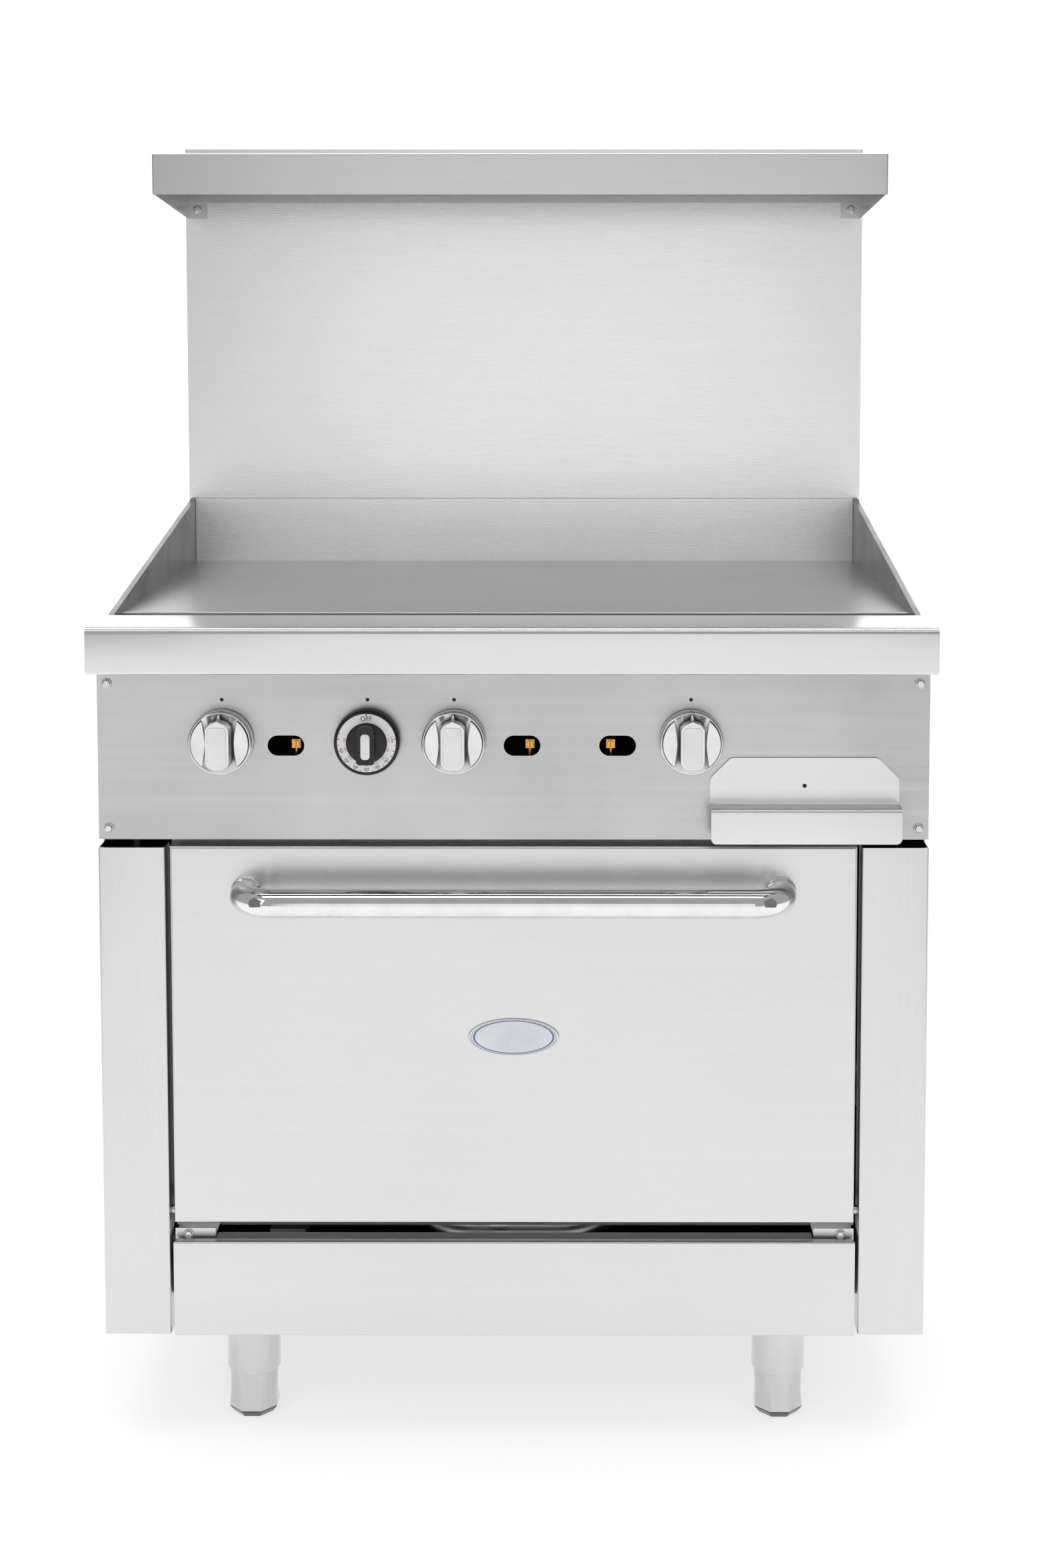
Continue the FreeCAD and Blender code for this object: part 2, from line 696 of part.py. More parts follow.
# ---------------------------------------------------------------- back guard and shelf
def back_guard():
    wall = dim.skin
    body = new_body("back_guard")
    pad(body, "z", body_top + 0.5, dim.height, [(polygon, [
        (-half, guard_face), (half, guard_face), (half, back - wall), (half - wall, back - wall),
        (half - wall, guard_face + wall), (wall - half, guard_face + wall),
        (wall - half, back - wall), (-half, back - wall)])])
    sub_part(body, "back_guard")

    flue = new_body("flue_back")
    pad(flue, "y", back - wall, back, [(rectangle, -half, body_top + 0.5, half, dim.height)])
    pad(flue, "z", dim.height - wall, dim.height, [
        (rectangle, wall - half, guard_face + wall, half - wall, back - wall),
        (rectangle, 37 - half, guard_face + 22, half - 37, back - 22)])
    sub_part(flue, "flue_back")

    riser = new_body("flue_riser")
    pad(riser, "z", cavity_top + dim.insulation + 12, dim.height - 40, [
        (rectangle, -160, guard_face + 8, 160, back - 8),
        (rectangle, -158.8, guard_face + 9.2, 158.8, back - 9.2)])
    sub_part(riser, "flue_riser")


def high_shelf():
    body = new_body("high_shelf")
    wall = dim.skin
    pad(body, "z", shelf_bottom, shelf_top, [(rectangle, -half, shelf_front, half, guard_face)])
    pocket(body, "z", shelf_bottom, shelf_top - wall,
           [(rectangle, wall - half, shelf_front + wall, half - wall, guard_face - wall)])
    sub_part(body, "high_shelf")

    toe = shelf_bottom - dim.bracket_drop
    for side, sign in sides.items():
        bracket = new_body(f"shelf_bracket_{side}")
        low_x, high_x = mirror_x(half - 2 * wall - 0.3, half - wall - 0.3, sign)
        inner_y = guard_face - wall - 0.3
        pad(bracket, "x", low_x, high_x, [(polygon, [
            (shelf_front + wall + 0.3, shelf_bottom - 0.5), (guard_face, toe),
            (guard_face, shelf_bottom - 0.5), (inner_y, shelf_bottom - 0.5),
            (inner_y, shelf_top - wall), (shelf_front + wall + 0.3, shelf_top - wall)])])
        low_x, high_x = mirror_x(half - wall - dim.bracket_flange, half - 2 * wall - 0.3, sign)
        pad(bracket, "y", guard_face - wall, guard_face,
            [(rectangle, low_x, toe, high_x, shelf_bottom - 0.5)])
        sub_part(bracket, f"shelf_bracket_{side}")


# ---------------------------------------------------------------- oven
def oven():
    body = new_body("oven_front_frame")
    reach = post_inner - 0.2
    pad(body, "y", frame_face, frame_face + dim.skin, [
        (rectangle, -reach, kick_top + 1.3, reach, panel_bottom - 1.5),
        (rectangle, -cavity_half, cavity_bottom, cavity_half, cavity_top)])
    tab_y = kick_face + 15
    for sign in sides.values():
        low_x, high_x = mirror_x(kick_half - dim.tab_width, kick_half, sign)
        pad(body, "z", kick_top + 1.3, kick_top + 1.3 + dim.skin,
            [(rectangle, low_x, tab_y, high_x, frame_face)])
        pad(body, "y", tab_y, tab_y + dim.skin,
            [(rectangle, low_x, kick_top - 9, high_x, kick_top + 10)])
    sub_part(body, "oven_front_frame")

    wall = dim.liner_wall
    liner_front = frame_face + dim.skin
    liner = cut(box((-cavity_half - wall, liner_front, cavity_bottom - wall),
                    (cavity_half + wall, cavity_back + wall, cavity_top + wall)),
                [box((-cavity_half, liner_front, cavity_bottom),
                     (cavity_half, cavity_back, cavity_top))])
    sub_part(liner, "oven_liner")

    deck = new_body("oven_deck")
    loops = [(rectangle, 2 - cavity_half, liner_front + 2, cavity_half - 2, cavity_back - 4)]
    for index in range(8):
        x = (cavity_half * 2) * ((index + 0.5) / 8) - cavity_half
        loops.append((rectangle, x - 20, cavity_back - 40, x + 20, cavity_back - 30))
    pad(deck, "z", cavity_bottom, cavity_bottom + 2, loops)
    sub_part(deck, "oven_deck")

    gap = wall + dim.liner_fit
    shell_top = cavity_top + dim.insulation + 6
    shell_side = door_half + 1.5
    jacket = cut(box((-shell_side, liner_front + 0.1, cavity_bottom - 18),
                     (shell_side, cavity_back + dim.insulation - 3, shell_top)),
                 [box((-cavity_half - gap, liner_front, cavity_bottom - 20),
                      (cavity_half + gap, cavity_back + gap, cavity_top + gap))])
    sub_part(jacket, "oven_insulation")


def oven_rack():
    """Wire guides at both sides and one rack that stands on their second rails."""
    wire = dim.wire_radius
    rail_x = cavity_half - 10.5
    rail_front, rail_rear = frame_face + 17, cavity_back - 20
    tall = cavity_top - cavity_bottom
    rail_rises = [tall * share for share in (0.17, 0.39, 0.62, 0.84)]
    guides = []
    for sign in sides.values():
        for y in (rail_front + 80, rail_rear - 80):
            guides.append(cylinder("z", ((rail_x + 6.2) * sign, y, cavity_bottom + 2.3), 3,
                                   tall - 16))
        for rise in rail_rises:
            guides.append(cylinder("y", (rail_x * sign, rail_front, cavity_bottom + rise), 3,
                                   rail_rear - rail_front))
    sub_part(group(guides), "rack_guides")

    z = cavity_bottom + rail_rises[1] + 3 + wire + 0.3
    reach = rail_x - 4
    low_y = door_back + dim.pan_rise + dim.rack_slack
    high_y = rail_rear - 8
    rods = []
    for x in (-reach, reach):
        rods.append(cylinder("y", (x, low_y - wire, z), wire, high_y - low_y + 2 * wire))
    for y in (low_y, (low_y + high_y) / 2, high_y):
        rods.append(cylinder("x", (-reach - 1, y, z), wire - 0.3, reach * 2 + 2))
    wires = 15
    for index in range(wires):
        x = (reach * 2) * ((index + 1) / (wires + 1)) - reach
        rods.append(cylinder("y", (x, low_y - 1, z + wire - 1), 2.2, high_y - low_y + 2))
    sub_part(fuse(rods), "oven_rack")


def bent_tube(name, points, radius, bend, bore=None):
    """A tube along straight runs joined by tangent arcs; sizes are read from the sheet."""
    corners = [Vector(*(Size.of(item).value for item in point)) for point in points]
    edges = []
    start = corners[0]
    for before, corner, after in zip(corners, corners[1:], corners[2:]):
        into = (corner - before).normalize()
        out = (after - corner).normalize()
        trim = bend * math.tan(into.getAngle(out) / 2)
        enter, leave = corner - into * trim, corner + out * trim
        inward = (out - into).normalize()
        centre = corner + inward * (bend / math.cos(into.getAngle(out) / 2))
        middle = centre - inward * bend
        edges.append(Part.LineSegment(start, enter).toShape())
        edges.append(Part.Arc(enter, middle, leave).toShape())
        start = leave
    edges.append(Part.LineSegment(start, corners[-1]).toShape())
    path = Part.Wire(edges)
    direction = (corners[1] - corners[0]).normalize()

    def sweep(size):
        ring = Part.Wire([Part.makeCircle(size, corners[0], direction)])
        return path.makePipeShell([ring], True, False)

    shape = sweep(radius)
    if bore is not None:
        shape = shape.cut(sweep(bore))
    item = doc.addObject("Part::Feature", name)
    item.Shape = shape
    return item


def oven_burner():
    spread, low_y, high_y = 110, frame_face + 27, cavity_back - 60
    z = base + 69
    burner = bent_tube("oven_burner", [(-spread, high_y, z), (-spread, low_y, z),
                                       (spread, low_y, z), (spread, high_y, z)],
                       dim.oven_tube.value, 60)
    sub_part(burner, "oven_burner")

    baffle = new_body("burner_baffle")
    low_y, high_y = frame_face + 12, cavity_back - 10
    low_z, high_z = kick_top + 7.5, cavity_bottom - 27
    arches = [(rectangle, -300, low_z, 300, high_z)]
    pad(baffle, "y", low_y, low_y + dim.skin, arches)
    pad(baffle, "z", high_z, high_z + dim.skin, [(rectangle, -300, low_y, 300, high_y)])
    mouths = [(circle, (x, low_z), 15) for x in range(-240, 241, 80)]
    pocket(baffle, "y", low_y - 1, low_y + dim.skin + 1, mouths)
    sub_part(baffle, "burner_baffle")


# ---------------------------------------------------------------- door
def door():
    wall = dim.skin
    body = new_body("door_outer")
    pad(body, "y", door_face, door_back, [(rectangle, -door_half, door_bottom, door_half, door_top)])
    pocket(body, "y", door_face + wall, door_back, [
        (rectangle, wall - door_half, door_bottom + wall, door_half - wall, door_top - wall)])
    for sign in sides.values():
        low_x, high_x = mirror_x(door_half - 3, door_half + 1, sign)
        pocket(body, "x", low_x, high_x, [(circle, (hinge_y, hinge_z), dim.hinge_radius + 0.1)])
    fillet(body, dim.door_corner, lambda middle, edge: near(middle.y, door_face)
           and edge.Length > 200)
    sub_part(body, "door_outer")

    pan = new_body("door_inner")
    reach = door_half - wall - 0.2
    rise_half = cavity_half + 8
    pan_low, pan_high = door_bottom + 31, door_top - 26
    pad(pan, "y", door_back - wall, door_back, [
        (rectangle, -reach, door_bottom + wall + 0.2, reach, door_top - wall - 0.2)])
    pad(pan, "y", door_back, door_back + dim.pan_rise,
        [(rectangle, -rise_half, pan_low, rise_half, pan_high)])
    pocket(pan, "y", door_back - wall, door_back + dim.pan_rise - wall,
           [(rectangle, wall - rise_half, pan_low + wall, rise_half - wall, pan_high - wall)])
    sub_part(pan, "door_inner")

    filling = box((1 - reach, door_face + wall + 0.3, hinge_z + 12),
                  (reach - 1, door_back - wall - 0.3, door_top - wall - 1))
    sub_part(filling, "door_insulation")

    handle = new_body("door_handle")
    profile = new_sketch(handle, "y", door_face, [
        (circle, (-dim.bar_half_span, handle_z), dim.bar_radius)])
    path = new_sketch(handle, "z", handle_z, [])
    span, bend = dim.bar_half_span.value, dim.bar_bend.value
    arc_y = (bar_y + dim.bar_bend).value
    straight = span - bend
    path.addGeometry(Part.LineSegment(Vector(-span, door_face.value, 0), Vector(-span, arc_y, 0)))
    path.addGeometry(Part.ArcOfCircle(
        Part.Circle(Vector(-straight, arc_y, 0), Vector(0, 0, 1), bend), math.pi, 1.5 * math.pi))
    path.addGeometry(Part.LineSegment(Vector(-straight, bar_y.value, 0),
                                      Vector(straight, bar_y.value, 0)))
    path.addGeometry(Part.ArcOfCircle(
        Part.Circle(Vector(straight, arc_y, 0), Vector(0, 0, 1), bend), 1.5 * math.pi, 2 * math.pi))
    path.addGeometry(Part.LineSegment(Vector(span, arc_y, 0), Vector(span, door_face.value, 0)))
    for first, end, second, start in ((0, 2, 1, 1), (1, 2, 2, 1), (2, 2, 3, 1), (3, 2, 4, 1)):
        path.addConstraint(Sketcher.Constraint("Tangent", first, end, second, start))
    fix_point(path, 0, 1, (-dim.bar_half_span, door_face))
    fix_point(path, 4, 2, (dim.bar_half_span, door_face))
    for arc, sign in ((1, -1), (3, 1)):
        fix_point(path, arc, 3, ((dim.bar_half_span - dim.bar_bend) * sign, bar_y + dim.bar_bend))
    doc.recompute()
    pipe = handle.newObject("PartDesign::AdditivePipe", "door_handle_bar")
    pipe.Profile = profile
    pipe.Spine = (path, [f"Edge{index}" for index in range(1, 6)])
    profile.Visibility = path.Visibility = False
    sub_part(handle, "door_handle")

    rim = doc.addObject("Part::Ellipse", "badge_rim")
    bind(rim, "MajorRadius", dim.badge_half_width)
    bind(rim, "MinorRadius", dim.badge_half_height)
    place(rim, (0, door_face, door_bottom + dim.badge_rise), Rotation(Vector(1, 0, 0), 90))
    badge = doc.addObject("Part::Extrusion", "door_badge")
    badge.Base = rim
    badge.DirMode = "Custom"
    badge.Dir = Vector(0, -1, 0)
    badge.Solid = True
    bind(badge, "LengthFwd", dim.badge_thickness)
    sub_part(badge, "door_badge")


def door_hinges():
    """Shafts fixed in the door, with a spring arm outside, turning in bearings in the posts."""
    shafts, bearings, springs = [], [], []
    radius = dim.hinge_radius
    inner = post_inner + dim.skin
    spring_y = hinge_y + dim.hinge_arm
    for sign in sides.values():
        low_x, high_x = mirror_x(door_half - 34, inner + 24, sign)
        shaft = cylinder("x", (low_x, hinge_y, hinge_z), radius, high_x - low_x)
        low_x, high_x = mirror_x(door_half - 34, door_half - dim.skin, sign)
        block = box((low_x, door_face + dim.skin + 0.3, door_bottom + dim.skin + 0.2),
                    (high_x, hinge_y + 18, hinge_z + 9))
        low_x, high_x = mirror_x(inner + 17, inner + 23, sign)
        arm = box((low_x, hinge_y - 7, hinge_z - 6), (high_x, spring_y + 8, hinge_z + 6))
        shafts.append(fuse([shaft, block, arm]))
        low_x, high_x = mirror_x(inner, inner + 15, sign)
        bearings.append(cut(
            box((low_x, hinge_y - 12, hinge_z - 12), (high_x, hinge_y + 12, hinge_z + 12)),
            [cylinder("x", (low_x, hinge_y, hinge_z), radius + dim.running_fit, 15)]))
        springs.append(door_spring((inner + 20) * sign, spring_y))
    sub_part(group(shafts), "hinge_shafts")
    sub_part(group(bearings), "hinge_bearings")
    sub_part(group(springs), "door_springs")


def door_spring(x, y):
    """A coil spring that stands between the base frame and the arm of the hinge shaft."""
    wire = dim.spring_wire
    low_z, high_z = frame_top + wire + 0.5, hinge_z - 6 - wire - 0.5
    coil = doc.addObject("Part::Helix", "coil")
    bind(coil, "Pitch", dim.spring_pitch)
    bind(coil, "Height", high_z - low_z)
    bind(coil, "Radius", dim.spring_radius)
    section = doc.addObject("Part::Circle", "coil_section")
    bind(section, "Radius", wire)
    place(section, (dim.spring_radius, 0, 0), Rotation(Vector(1, 0, 0), 90))
    spring = doc.addObject("Part::Sweep", "coil_sweep")
    spring.Sections = [section]
    spring.Spine = coil
    spring.Solid = True
    spring.Frenet = True
    place(spring, (x, y, low_z))
    return spring


# ---------------------------------------------------------------- grease drawer
def grease_drawer():
    wall = dim.liner_wall
    plate_y = panel_face - 0.5
    tray = new_body("grease_drawer")
    tray_back = plate_y + dim.drawer_length
    pad(tray, "z", tray_bottom, tray_top, [
        (rectangle, drawer_x - tray_half, plate_y, drawer_x + tray_half, tray_back)])
    pocket(tray, "z", tray_bottom + wall, tray_top, [
        (rectangle, drawer_x - tray_half + wall, plate_y + wall,
         drawer_x + tray_half - wall, tray_back - wall)])
    sub_part(tray, "grease_drawer")

    body = new_body("drawer_front")
    sheet_y = plate_y - dim.front_sheet
    pull_y = sheet_y - dim.pull_reach
    top = panel_bottom + dim.front_top
    fold = panel_bottom + dim.front_fold
    shoulder = top - dim.front_flare
    neck = drawer_x - knob_right_x - dim.knob_radius - dim.front_gap
    wide = tray_half + dim.front_overlap
    pad(body, "y", sheet_y, plate_y, [
        (polygon, [(drawer_x - wide, fold), (drawer_x + wide, fold), (drawer_x + wide, shoulder),
                   (drawer_x + neck, top), (drawer_x - neck, top), (drawer_x - wide, shoulder)]),
        (circle, (drawer_x, top - 31), 2.4)])
    pad(body, "z", fold - dim.front_sheet, fold,
        [(rectangle, drawer_x - wide, pull_y, drawer_x + wide, plate_y)])
    pad(body, "y", pull_y, pull_y + dim.front_sheet, [
        (rectangle, drawer_x - wide, panel_bottom + dim.skin, drawer_x + wide, fold)])
    fillet(body, 10, lambda middle, edge: near(middle.z, panel_bottom + dim.skin)
           and near(edge.Length, dim.front_sheet))
    sub_part(body, "drawer_front")


# ---------------------------------------------------------------- controls
def griddle_knobs():
    for name, x in knob_positions.items():
        body = new_body(f"knob_{name}")
        rear = panel_face - dim.knob_clearance
        face = rear - dim.knob_reach
        hub = rear - dim.knob_skirt - 6
        pad(body, "y", rear - dim.knob_skirt, rear, [(circle, (x, knob_z), dim.knob_radius)])
        pad(body, "y", hub, rear - dim.knob_skirt, [(circle, (x, knob_z), dim.knob_hub)])
        grip_half = dim.knob_grip / 2
        grip_reach = dim.knob_radius - 7
        pad(body, "y", face, hub, [
            (rectangle, x - grip_half, knob_z - grip_reach, x + grip_half, knob_z + grip_reach)])
        pocket(body, "y", rear - 25, rear, [(circle, (x, knob_z), dim.stem_radius + 0.1)])
        pocket(body, "y", rear - dim.knob_skirt + 3, rear, [
            (circle, (x, knob_z), dim.knob_radius - 3), (circle, (x, knob_z), 9)])
        sub_part(body, f"knob_{name}")
        valve_stem(f"valve_stem_{name}", x, rear - 24)


def valve_stem(name, x, start):
    stem = cylinder("y", (x, start, knob_z), dim.stem_radius, valve_front + 18 - start)
    sub_part(stem, name)


def thermostat():
    x = thermostat_x
    body = new_body("thermostat_dial")
    rear = panel_face - dim.knob_clearance
    disc = rear - dim.dial_thickness
    pad(body, "y", disc, rear, [(circle, (x, knob_z), dim.dial_radius)])
    pad(body, "y", disc - 4, disc, [(circle, (x, knob_z), dim.knob_hub)])
    grip_half = dim.dial_grip / 2
    pad(body, "y", disc - 22, disc - 4, [
        (rectangle, x - grip_half, knob_z - dim.knob_hub + 1, x + grip_half,
         knob_z + dim.knob_hub - 1)])
    pocket(body, "y", rear - 19, rear, [(circle, (x, knob_z), dim.stem_radius + 0.1)])
    sub_part(body, "thermostat_dial")
    valve_stem("thermostat_stem", x, rear - 18)

    shell = cut(box((x - 35, valve_front, knob_z - 17), (x + 35, valve_back + 8, knob_z + 31)),
                [cylinder("y", (x, valve_front, knob_z), dim.stem_radius + dim.running_fit, 20)])
    sub_part(fuse([shell, nipple(x, knob_z - 17)]), "thermostat_body")


def nipple(x, top):
    """Pipe nipple from a valve down into the manifold's wall."""
    low = manifold_z + dim.pipe_radius - 1.5
    return cylinder("z", (x, manifold_y, low), 6, top - low)


def gas_train():
    """Inlet pipe, manifold, griddle valves and pilot valves."""
    low_x = pipe_x + 18
    high_x = drawer_x - tray_half - 11
    pipe = dim.pipe_radius
    tube = cut(cylinder("x", (low_x, manifold_y, manifold_z), pipe, high_x - low_x),
               [cylinder("x", (low_x, manifold_y, manifold_z), pipe - dim.pipe_wall,
                         high_x - low_x - 4)])
    taps = [cylinder("z", (x, manifold_y, manifold_z + pipe - 1.5), 6.1, 4)
            for x in (*knob_positions.values(), thermostat_x)]
    sub_part(cut(tube, taps), "gas_manifold")

    valves = []
    for x in knob_positions.values():
        shell = cut(box((x - 14, valve_front, knob_z - 14), (x + 14, valve_back, knob_z + 14)),
                    [cylinder("y", (x, valve_front, knob_z),
                              dim.stem_radius + dim.running_fit, 20)])
        orifice = cylinder("y", (x, valve_back, knob_z), 5, 15)
        valves.append(fuse([shell, orifice, nipple(x, knob_z - 14)]))
    sub_part(group(valves), "griddle_valves")

    pilots = []
    pilot_y = panel_back + 10
    for x, shift in zip(port_positions.values(), (10, 8.5, -7.5)):
        centre = x + shift
        block = box((centre - 4.8, pilot_y, port_z - 4.8), (centre + 4.8, pilot_y + 9.6, port_z + 4.8))
        screw = cut(cylinder("y", (centre, pilot_y - 2, port_z), 3.6, 2),
                    [box((centre - 0.5, pilot_y - 3, port_z - 5), (centre + 0.5, pilot_y - 1, port_z + 5))])
        stub = cylinder("z", (centre, pilot_y + 4.8, manifold_z - 3), 3, port_z - manifold_z - 1)
        feed = cylinder("y", (centre, pilot_y + 4.8, manifold_z), 3,
                        manifold_y - pipe - 0.3 - pilot_y - 4.8)
        pilots.append(fuse([block, screw, stub, feed]))
    sub_part(group(pilots), "pilot_valves")

    elbow_half = 18
    reach = back + (front - bar_y + dim.bar_radius)
    elbow = box((pipe_x - elbow_half, manifold_y - elbow_half, manifold_z - elbow_half),
                (pipe_x + elbow_half, manifold_y + elbow_half, manifold_z + elbow_half))
    riser_z = manifold_z + elbow_half
    riser = cylinder("z", (pipe_x, manifold_y, riser_z), pipe, knob_z - riser_z)
    start = (pipe_x, manifold_y, knob_z)
    run = cylinder("y", start, pipe, back - manifold_y)
    thread = cylinder("y", (pipe_x, back, knob_z), dim.thread_radius, reach - back)
    bore = cylinder("y", (pipe_x, reach - 300, knob_z), pipe - dim.pipe_wall, 300)
    sub_part(cut(fuse([elbow, riser, run, thread]), [bore]), "gas_inlet_pipe")


def oven_gas():
    """Tube from the thermostat round the oven to the safety valve, and its reset button."""
    z_low, y, x_valve = frame_top + 20, manifold_y + 27, -280
    lane = -half + 27
    z_across = manifold_z - 40
    tube = bent_tube("oven_gas_tube", [
        (thermostat_x, y, knob_z - 17.2), (thermostat_x, y, z_across), (lane, y, z_across),
        (lane, y, z_low), (x_valve - 0.2, y, z_low)], 5, 16, 4)
    sub_part(tube, "oven_gas_tube")

    valve = box((x_valve, y - 23, frame_top + 3), (x_valve + 40, y + 22, frame_top + 38))
    bore = cylinder("y", (x_valve + 20, y - 23, z_low), 7.1, 14)
    spud = cylinder("x", (x_valve + 40, y, base + 69), 5, 112)
    low_body = cut(valve, [bore])
    sub_part(fuse([low_body, spud]), "safety_valve")
    sub_part(cylinder("y", (x_valve + 20, y - 35, z_low), 6.9, 18), "safety_button")


# ---------------------------------------------------------------- fasteners
def fasteners():
    heads = []
    spots = []
    for sign in sides.values():
        spots.append(((half - 11.2) * sign, panel_face, rail_bottom - 19))
        spots.append(((half - 11.2) * sign, panel_face, panel_bottom + 12.5))
        spots.append(((kick_half - 14.8) * sign, kick_face + 15, kick_top + 3.5))
        spots.append(((half - 16) * sign, guard_face - dim.skin, shelf_bottom - 8.5))
    for x, face, z in spots:
        head = doc.addObject("Part::Prism", "bolt_head")
        head.Polygon = 6
        bind(head, "Circumradius", dim.bolt_head)
        bind(head, "Height", dim.bolt_thick)
        place(head, (x, face - dim.bolt_thick, z), ALONG["y"])
        heads.append(head)
    sub_part(group(heads), "hex_bolts")

    screws = []
    pitch = half / 7.09
    for index in (-5, -3, -1, 1, 3, 5):
        screws.append(cylinder("z", (pitch * index, panel_back + 16, panel_bottom - 2.2), 4.2, 2.2))
    sub_part(group(screws), "panel_screws")


for build in (base_frame, legs, side_panels, rear_panel, front_posts, kick_panel, control_panel,
              bullnose_rail, griddle, grease_trough, griddle_burners, back_guard, high_shelf,
              oven, oven_rack, oven_burner, door, door_hinges, grease_drawer, griddle_knobs,
              thermostat, gas_train, oven_gas, fasteners):
    build()

doc.recompute()

# ---------------------------------------------------------------- checks and export
for item in doc.Objects:
    if "Invalid" in item.State or "Error" in item.State:
        raise RuntimeError(f"{item.Name} ({item.Label}) failed: {item.State}")
for node in nodes:
    if node.Shape.isNull() or not node.Shape.isValid() or not node.Shape.Solids:
        raise RuntimeError(f"{node.Label} has no valid solid")

os.makedirs("parts", exist_ok=True)
for node in nodes:
    node.Shape.exportStep(f"parts/{node.Label}.step")
print(f"{len(nodes)} sub-parts written")
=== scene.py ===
import math

import bmesh
import bpy
from mathutils import Matrix, Vector


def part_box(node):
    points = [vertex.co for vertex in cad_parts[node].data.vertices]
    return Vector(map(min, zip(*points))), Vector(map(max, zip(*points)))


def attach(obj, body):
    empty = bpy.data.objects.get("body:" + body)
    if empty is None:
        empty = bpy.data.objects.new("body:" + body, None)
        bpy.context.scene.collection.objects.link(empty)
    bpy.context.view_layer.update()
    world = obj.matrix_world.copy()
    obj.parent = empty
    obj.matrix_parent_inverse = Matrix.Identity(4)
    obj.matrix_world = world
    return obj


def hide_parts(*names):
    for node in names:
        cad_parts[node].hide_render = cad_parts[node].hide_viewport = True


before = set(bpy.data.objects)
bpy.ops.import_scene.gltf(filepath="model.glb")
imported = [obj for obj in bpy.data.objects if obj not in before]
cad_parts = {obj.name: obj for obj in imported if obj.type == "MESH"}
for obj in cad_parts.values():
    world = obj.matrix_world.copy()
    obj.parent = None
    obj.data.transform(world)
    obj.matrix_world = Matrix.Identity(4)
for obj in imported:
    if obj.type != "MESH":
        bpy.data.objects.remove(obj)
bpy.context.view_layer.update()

# Commercial gas range: looks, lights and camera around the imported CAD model. Metres throughout.
MM = 0.001
SHEET = 1.5 * MM
ROUND = 96
KNOB_SKIRT = 19 * MM
FLAT_INNER, FLAT_OUTER = 19 * MM, 31.5 * MM
FLAT_STEPS = 24
DIAL_DEEPER = 6 * MM
DIAL_FIRST, DIAL_STEP = 82, 24.5
SOLE = 8.5 * MM
# painted shade: beyond the first value (an x) the splash guards' outer sides darken to the second
# share
SPLASH_END, SPLASH_SIDE_SHADE = 0.4474, 0.20


# ------------------------------------------------------------------ places, from the CAD
def low(node):
    return Vector(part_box(node)[0])


def high(node):
    return Vector(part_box(node)[1])


def middle(node):
    return (low(node) + high(node)) / 2


HALF = high("side_panel_right").x
PANEL_FACE = low("control_panel").y
RAIL_LOW, RAIL_HIGH = low("bullnose_rail"), high("bullnose_rail")
KNOBS = {side: middle(f"knob_{side}") for side in ("left", "middle", "right")}
DIAL = middle("thermostat_dial")


# ------------------------------------------------------------------ mesh helpers
def perpendicular(direction):
    return Vector((-direction.y, direction.x))


def turned(direction, angle):
    c, s = math.cos(angle), math.sin(angle)
    return Vector((direction.x * c - direction.y * s, direction.x * s + direction.y * c))


def rounded(points, radii, closed=False, steps=6):
    """(point, left normal) pairs along a path whose corners are rounded to the radii."""
    points = [Vector(point) for point in points]
    count = len(points)
    if not isinstance(radii, (list, tuple)):
        radii = [radii] * count
    path = []
    for index, (point, radius) in enumerate(zip(points, radii)):
        if not closed and index in (0, count - 1):
            ahead = points[1] - point if index == 0 else point - points[-2]
            path.append((point, perpendicular(ahead.normalized())))
            continue
        into = (point - points[index - 1]).normalized()
        out = (points[(index + 1) % count] - point).normalized()
        turn = math.atan2(into.x * out.y - into.y * out.x, into.dot(out))
        if radius <= 0 or abs(turn) < 1e-4:
            normal = (perpendicular(into) + perpendicular(out)) / (1 + into.dot(out))
            path.append((point, normal))
            continue
        side = math.copysign(1, turn)
        start = point - into * radius * math.tan(abs(turn) / 2)
        centre = start + perpendicular(into) * radius * side
        for step in range(steps + 1):
            tangent = turned(into, turn * step / steps)
            normal = perpendicular(tangent)
            path.append((centre - normal * radius * side, normal))
    return path


def in_space(axis, along, flat):
    """A point of a profile across one axis, at a place along it."""
    a, b = flat
    return {"x": (along, a, b), "y": (a, along, b), "z": (a, b, along)}[axis]


def new_object(name, vertices, faces):
    mesh = bpy.data.meshes.new(name)
    mesh.from_pydata([tuple(vertex) for vertex in vertices], [], faces)
    shell = bmesh.new()
    shell.from_mesh(mesh)
    bmesh.ops.recalc_face_normals(shell, faces=shell.faces)
    shell.to_mesh(mesh)
    shell.free()
    piece = bpy.data.objects.new(name, mesh)
    bpy.context.scene.collection.objects.link(piece)
    return piece


def folded(name, axis, start, end, points, thickness, radii, steps=6):
    """Bent sheet: a profile with rounded bends, drawn along an axis; the metal is on its left."""
    path = rounded(points, radii, steps=steps)
    vertices, faces = [], []
    for along in (start, end):
        for point, normal in path:
            vertices.append(in_space(axis, along, point))
            vertices.append(in_space(axis, along, point + normal * thickness))
    count = len(path)
    for index in range(count - 1):
        a, b = 2 * index, 2 * (index + 1)
        c, d = a + 2 * count, b + 2 * count
        faces += [(a, b, d, c), (a + 1, c + 1, d + 1, b + 1), (a, a + 1, b + 1, b),
                  (c, d, d + 1, c + 1)]
    for a in (0, 2 * (count - 1)):
        faces.append((a, a + 2 * count, a + 2 * count + 1, a + 1))
    return new_object(name, vertices, faces)


